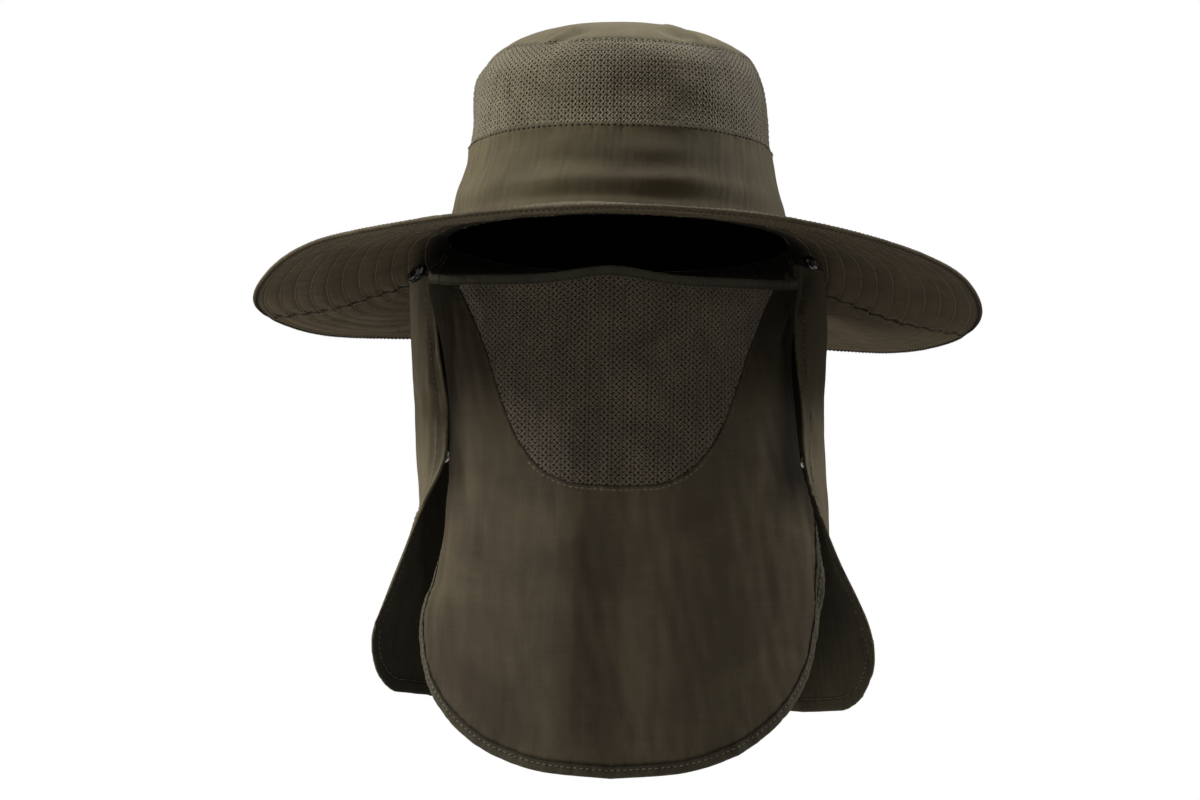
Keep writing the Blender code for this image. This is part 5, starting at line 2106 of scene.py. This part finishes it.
@dataclass
class Studio:
    """The camera at the photograph's angle, soft lights and a plain pale floor."""

    place: tuple[float, float, float] = (-0.0001, -1.8594, -0.2779)
    right: tuple[float, float, float] = (0.9999, 0.0027, 0.0156)
    up: tuple[float, float, float] = (-0.0152, -0.1053, 0.9943)
    ahead: tuple[float, float, float] = (-0.0043, 0.9944, 0.1053)
    lens: float = 110.0
    floor_height: float = -0.90
    floor_half: float = 6.0

    AIM = (0.0, 0.0, -0.06)
    LIGHT_COLOUR = (1.0, 0.98, 0.95)
    LIT = ((1.0, 0.99, 0.97, 1.0), 0.06)
    SEEN = ((1.0, 1.0, 1.0, 1.0), 1.0)

    def build_camera(self) -> None:
        """The camera, with no shift and no depth of field."""
        data = bpy.data.cameras.new("photo_camera")
        data.lens = self.lens
        data.sensor_width = 36.0
        camera = placed("photo_camera", data)
        back = tuple(-a for a in self.ahead)
        turn = Matrix((self.right, self.up, back)).transposed()
        camera.matrix_world = Matrix.Translation(self.place) @ turn.to_4x4()
        bpy.context.scene.camera = camera

    def light(self, name: str, place: tuple[float, float, float], size: float, watts: float,
              glossy: bool = True) -> None:
        """One soft light, aimed at the hat.

        Args:
            name: Its name.
            place: Where it stands.
            size: Its width.
            watts: Its power.
            glossy: Whether cloth and metal mirror it.
        """
        data = bpy.data.lights.new(name, "AREA")
        data.shape = "DISK"
        data.size = size
        data.energy = watts
        data.color = self.LIGHT_COLOUR
        lamp = placed(name, data)
        lamp.location = place
        lamp.rotation_euler = (Vector(self.AIM) - Vector(place)).to_track_quat("-Z", "Y").to_euler()
        lamp.visible_camera = False
        lamp.visible_glossy = glossy

    def build_world(self) -> None:
        """A white surround, dimmer as a light than as it is seen."""
        world = bpy.data.worlds.new("white_surround")
        world.use_nodes = True
        graph = Graph(world.node_tree)
        world.node_tree.nodes.clear()
        lit, seen = [graph.step("ShaderNodeBackground", {"Color": colour, "Strength": strength})
                     for colour, strength in (self.LIT, self.SEEN)]
        choice = graph.add("ShaderNodeLightPath").outputs["Is Camera Ray"]
        shown = graph.step("ShaderNodeMixShader", {0: choice, 1: lit, 2: seen})
        graph.add("ShaderNodeOutputWorld", {0: shown})
        bpy.context.scene.world = world
        bpy.context.scene.view_settings.view_transform = "Standard"

    def build_floor(self) -> None:
        """A wide pale floor, below the photograph's frame."""
        mesh = bpy.data.meshes.new("floor")
        s, z = self.floor_half, self.floor_height
        mesh.from_pydata([(-s, -s, z), (s, -s, z), (s, s, z), (-s, s, z)], [], [(0, 1, 2, 3)])
        paint, graph, shader = new_material("pale_floor")
        patches = graph.noise(graph.add("ShaderNodeTexCoord").outputs["Object"], 3.0)
        colour = graph.blend(patches, (0.70, 0.70, 0.69, 1), (0.74, 0.74, 0.73, 1))
        graph.fill(shader, {"Base Color": colour, "Roughness": 0.9})
        mesh.materials.append(paint)
        placed("floor", mesh)

    def build(self) -> None:
        """Everything around the hat."""
        self.build_camera()
        self.build_world()
        self.build_floor()
        self.light("left_light", (-0.95, -0.34, 0.76), 0.42, 15.8)
        self.light("right_light", (1.05, 0.22, 0.55), 0.40, 9.6)
        self.light("top_light", (-0.10, 0.05, 0.85), 0.45, 2.6)
        self.light("front_fill", (-0.6, -2.4, 0.3), 1.2, 8.2)
        self.light("low_side", (-0.85, 0.62, -0.31), 0.35, 7.0, glossy=False)


def main() -> None:
    """Build the hat and its surroundings in order."""
    logging.basicConfig(level=logging.INFO, format="%(name)s: %(message)s")
    finishes = Finishes()
    growth = Growth()
    sewing = Sewing(growth)
    crown = Crown()
    band = crown.build_band(finishes)
    tip = crown.build_tip(finishes)
    crown.build_net(finishes, growth)
    crown.build_stitches(finishes, sewing, [band, tip])
    brim = Brim(crown)
    brim.build_stitches(finishes, sewing, brim.build(finishes))
    neck = NeckFlap(brim)
    flap = neck.build(finishes)
    neck.build_stitches(finishes, sewing, [flap])
    panel = FacePanel()
    hem = panel.build_hem(finishes)
    binding = panel.build_binding(finishes)
    cloth = panel.build_panel(finishes)
    net = panel.build_net(finishes, growth)
    panel.build_stitches(finishes, sewing, [hem, binding, cloth])
    for snap in SNAPS:
        snap.build(neck, finishes)
    Studio().build()


if __name__ == "__main__":
    main()
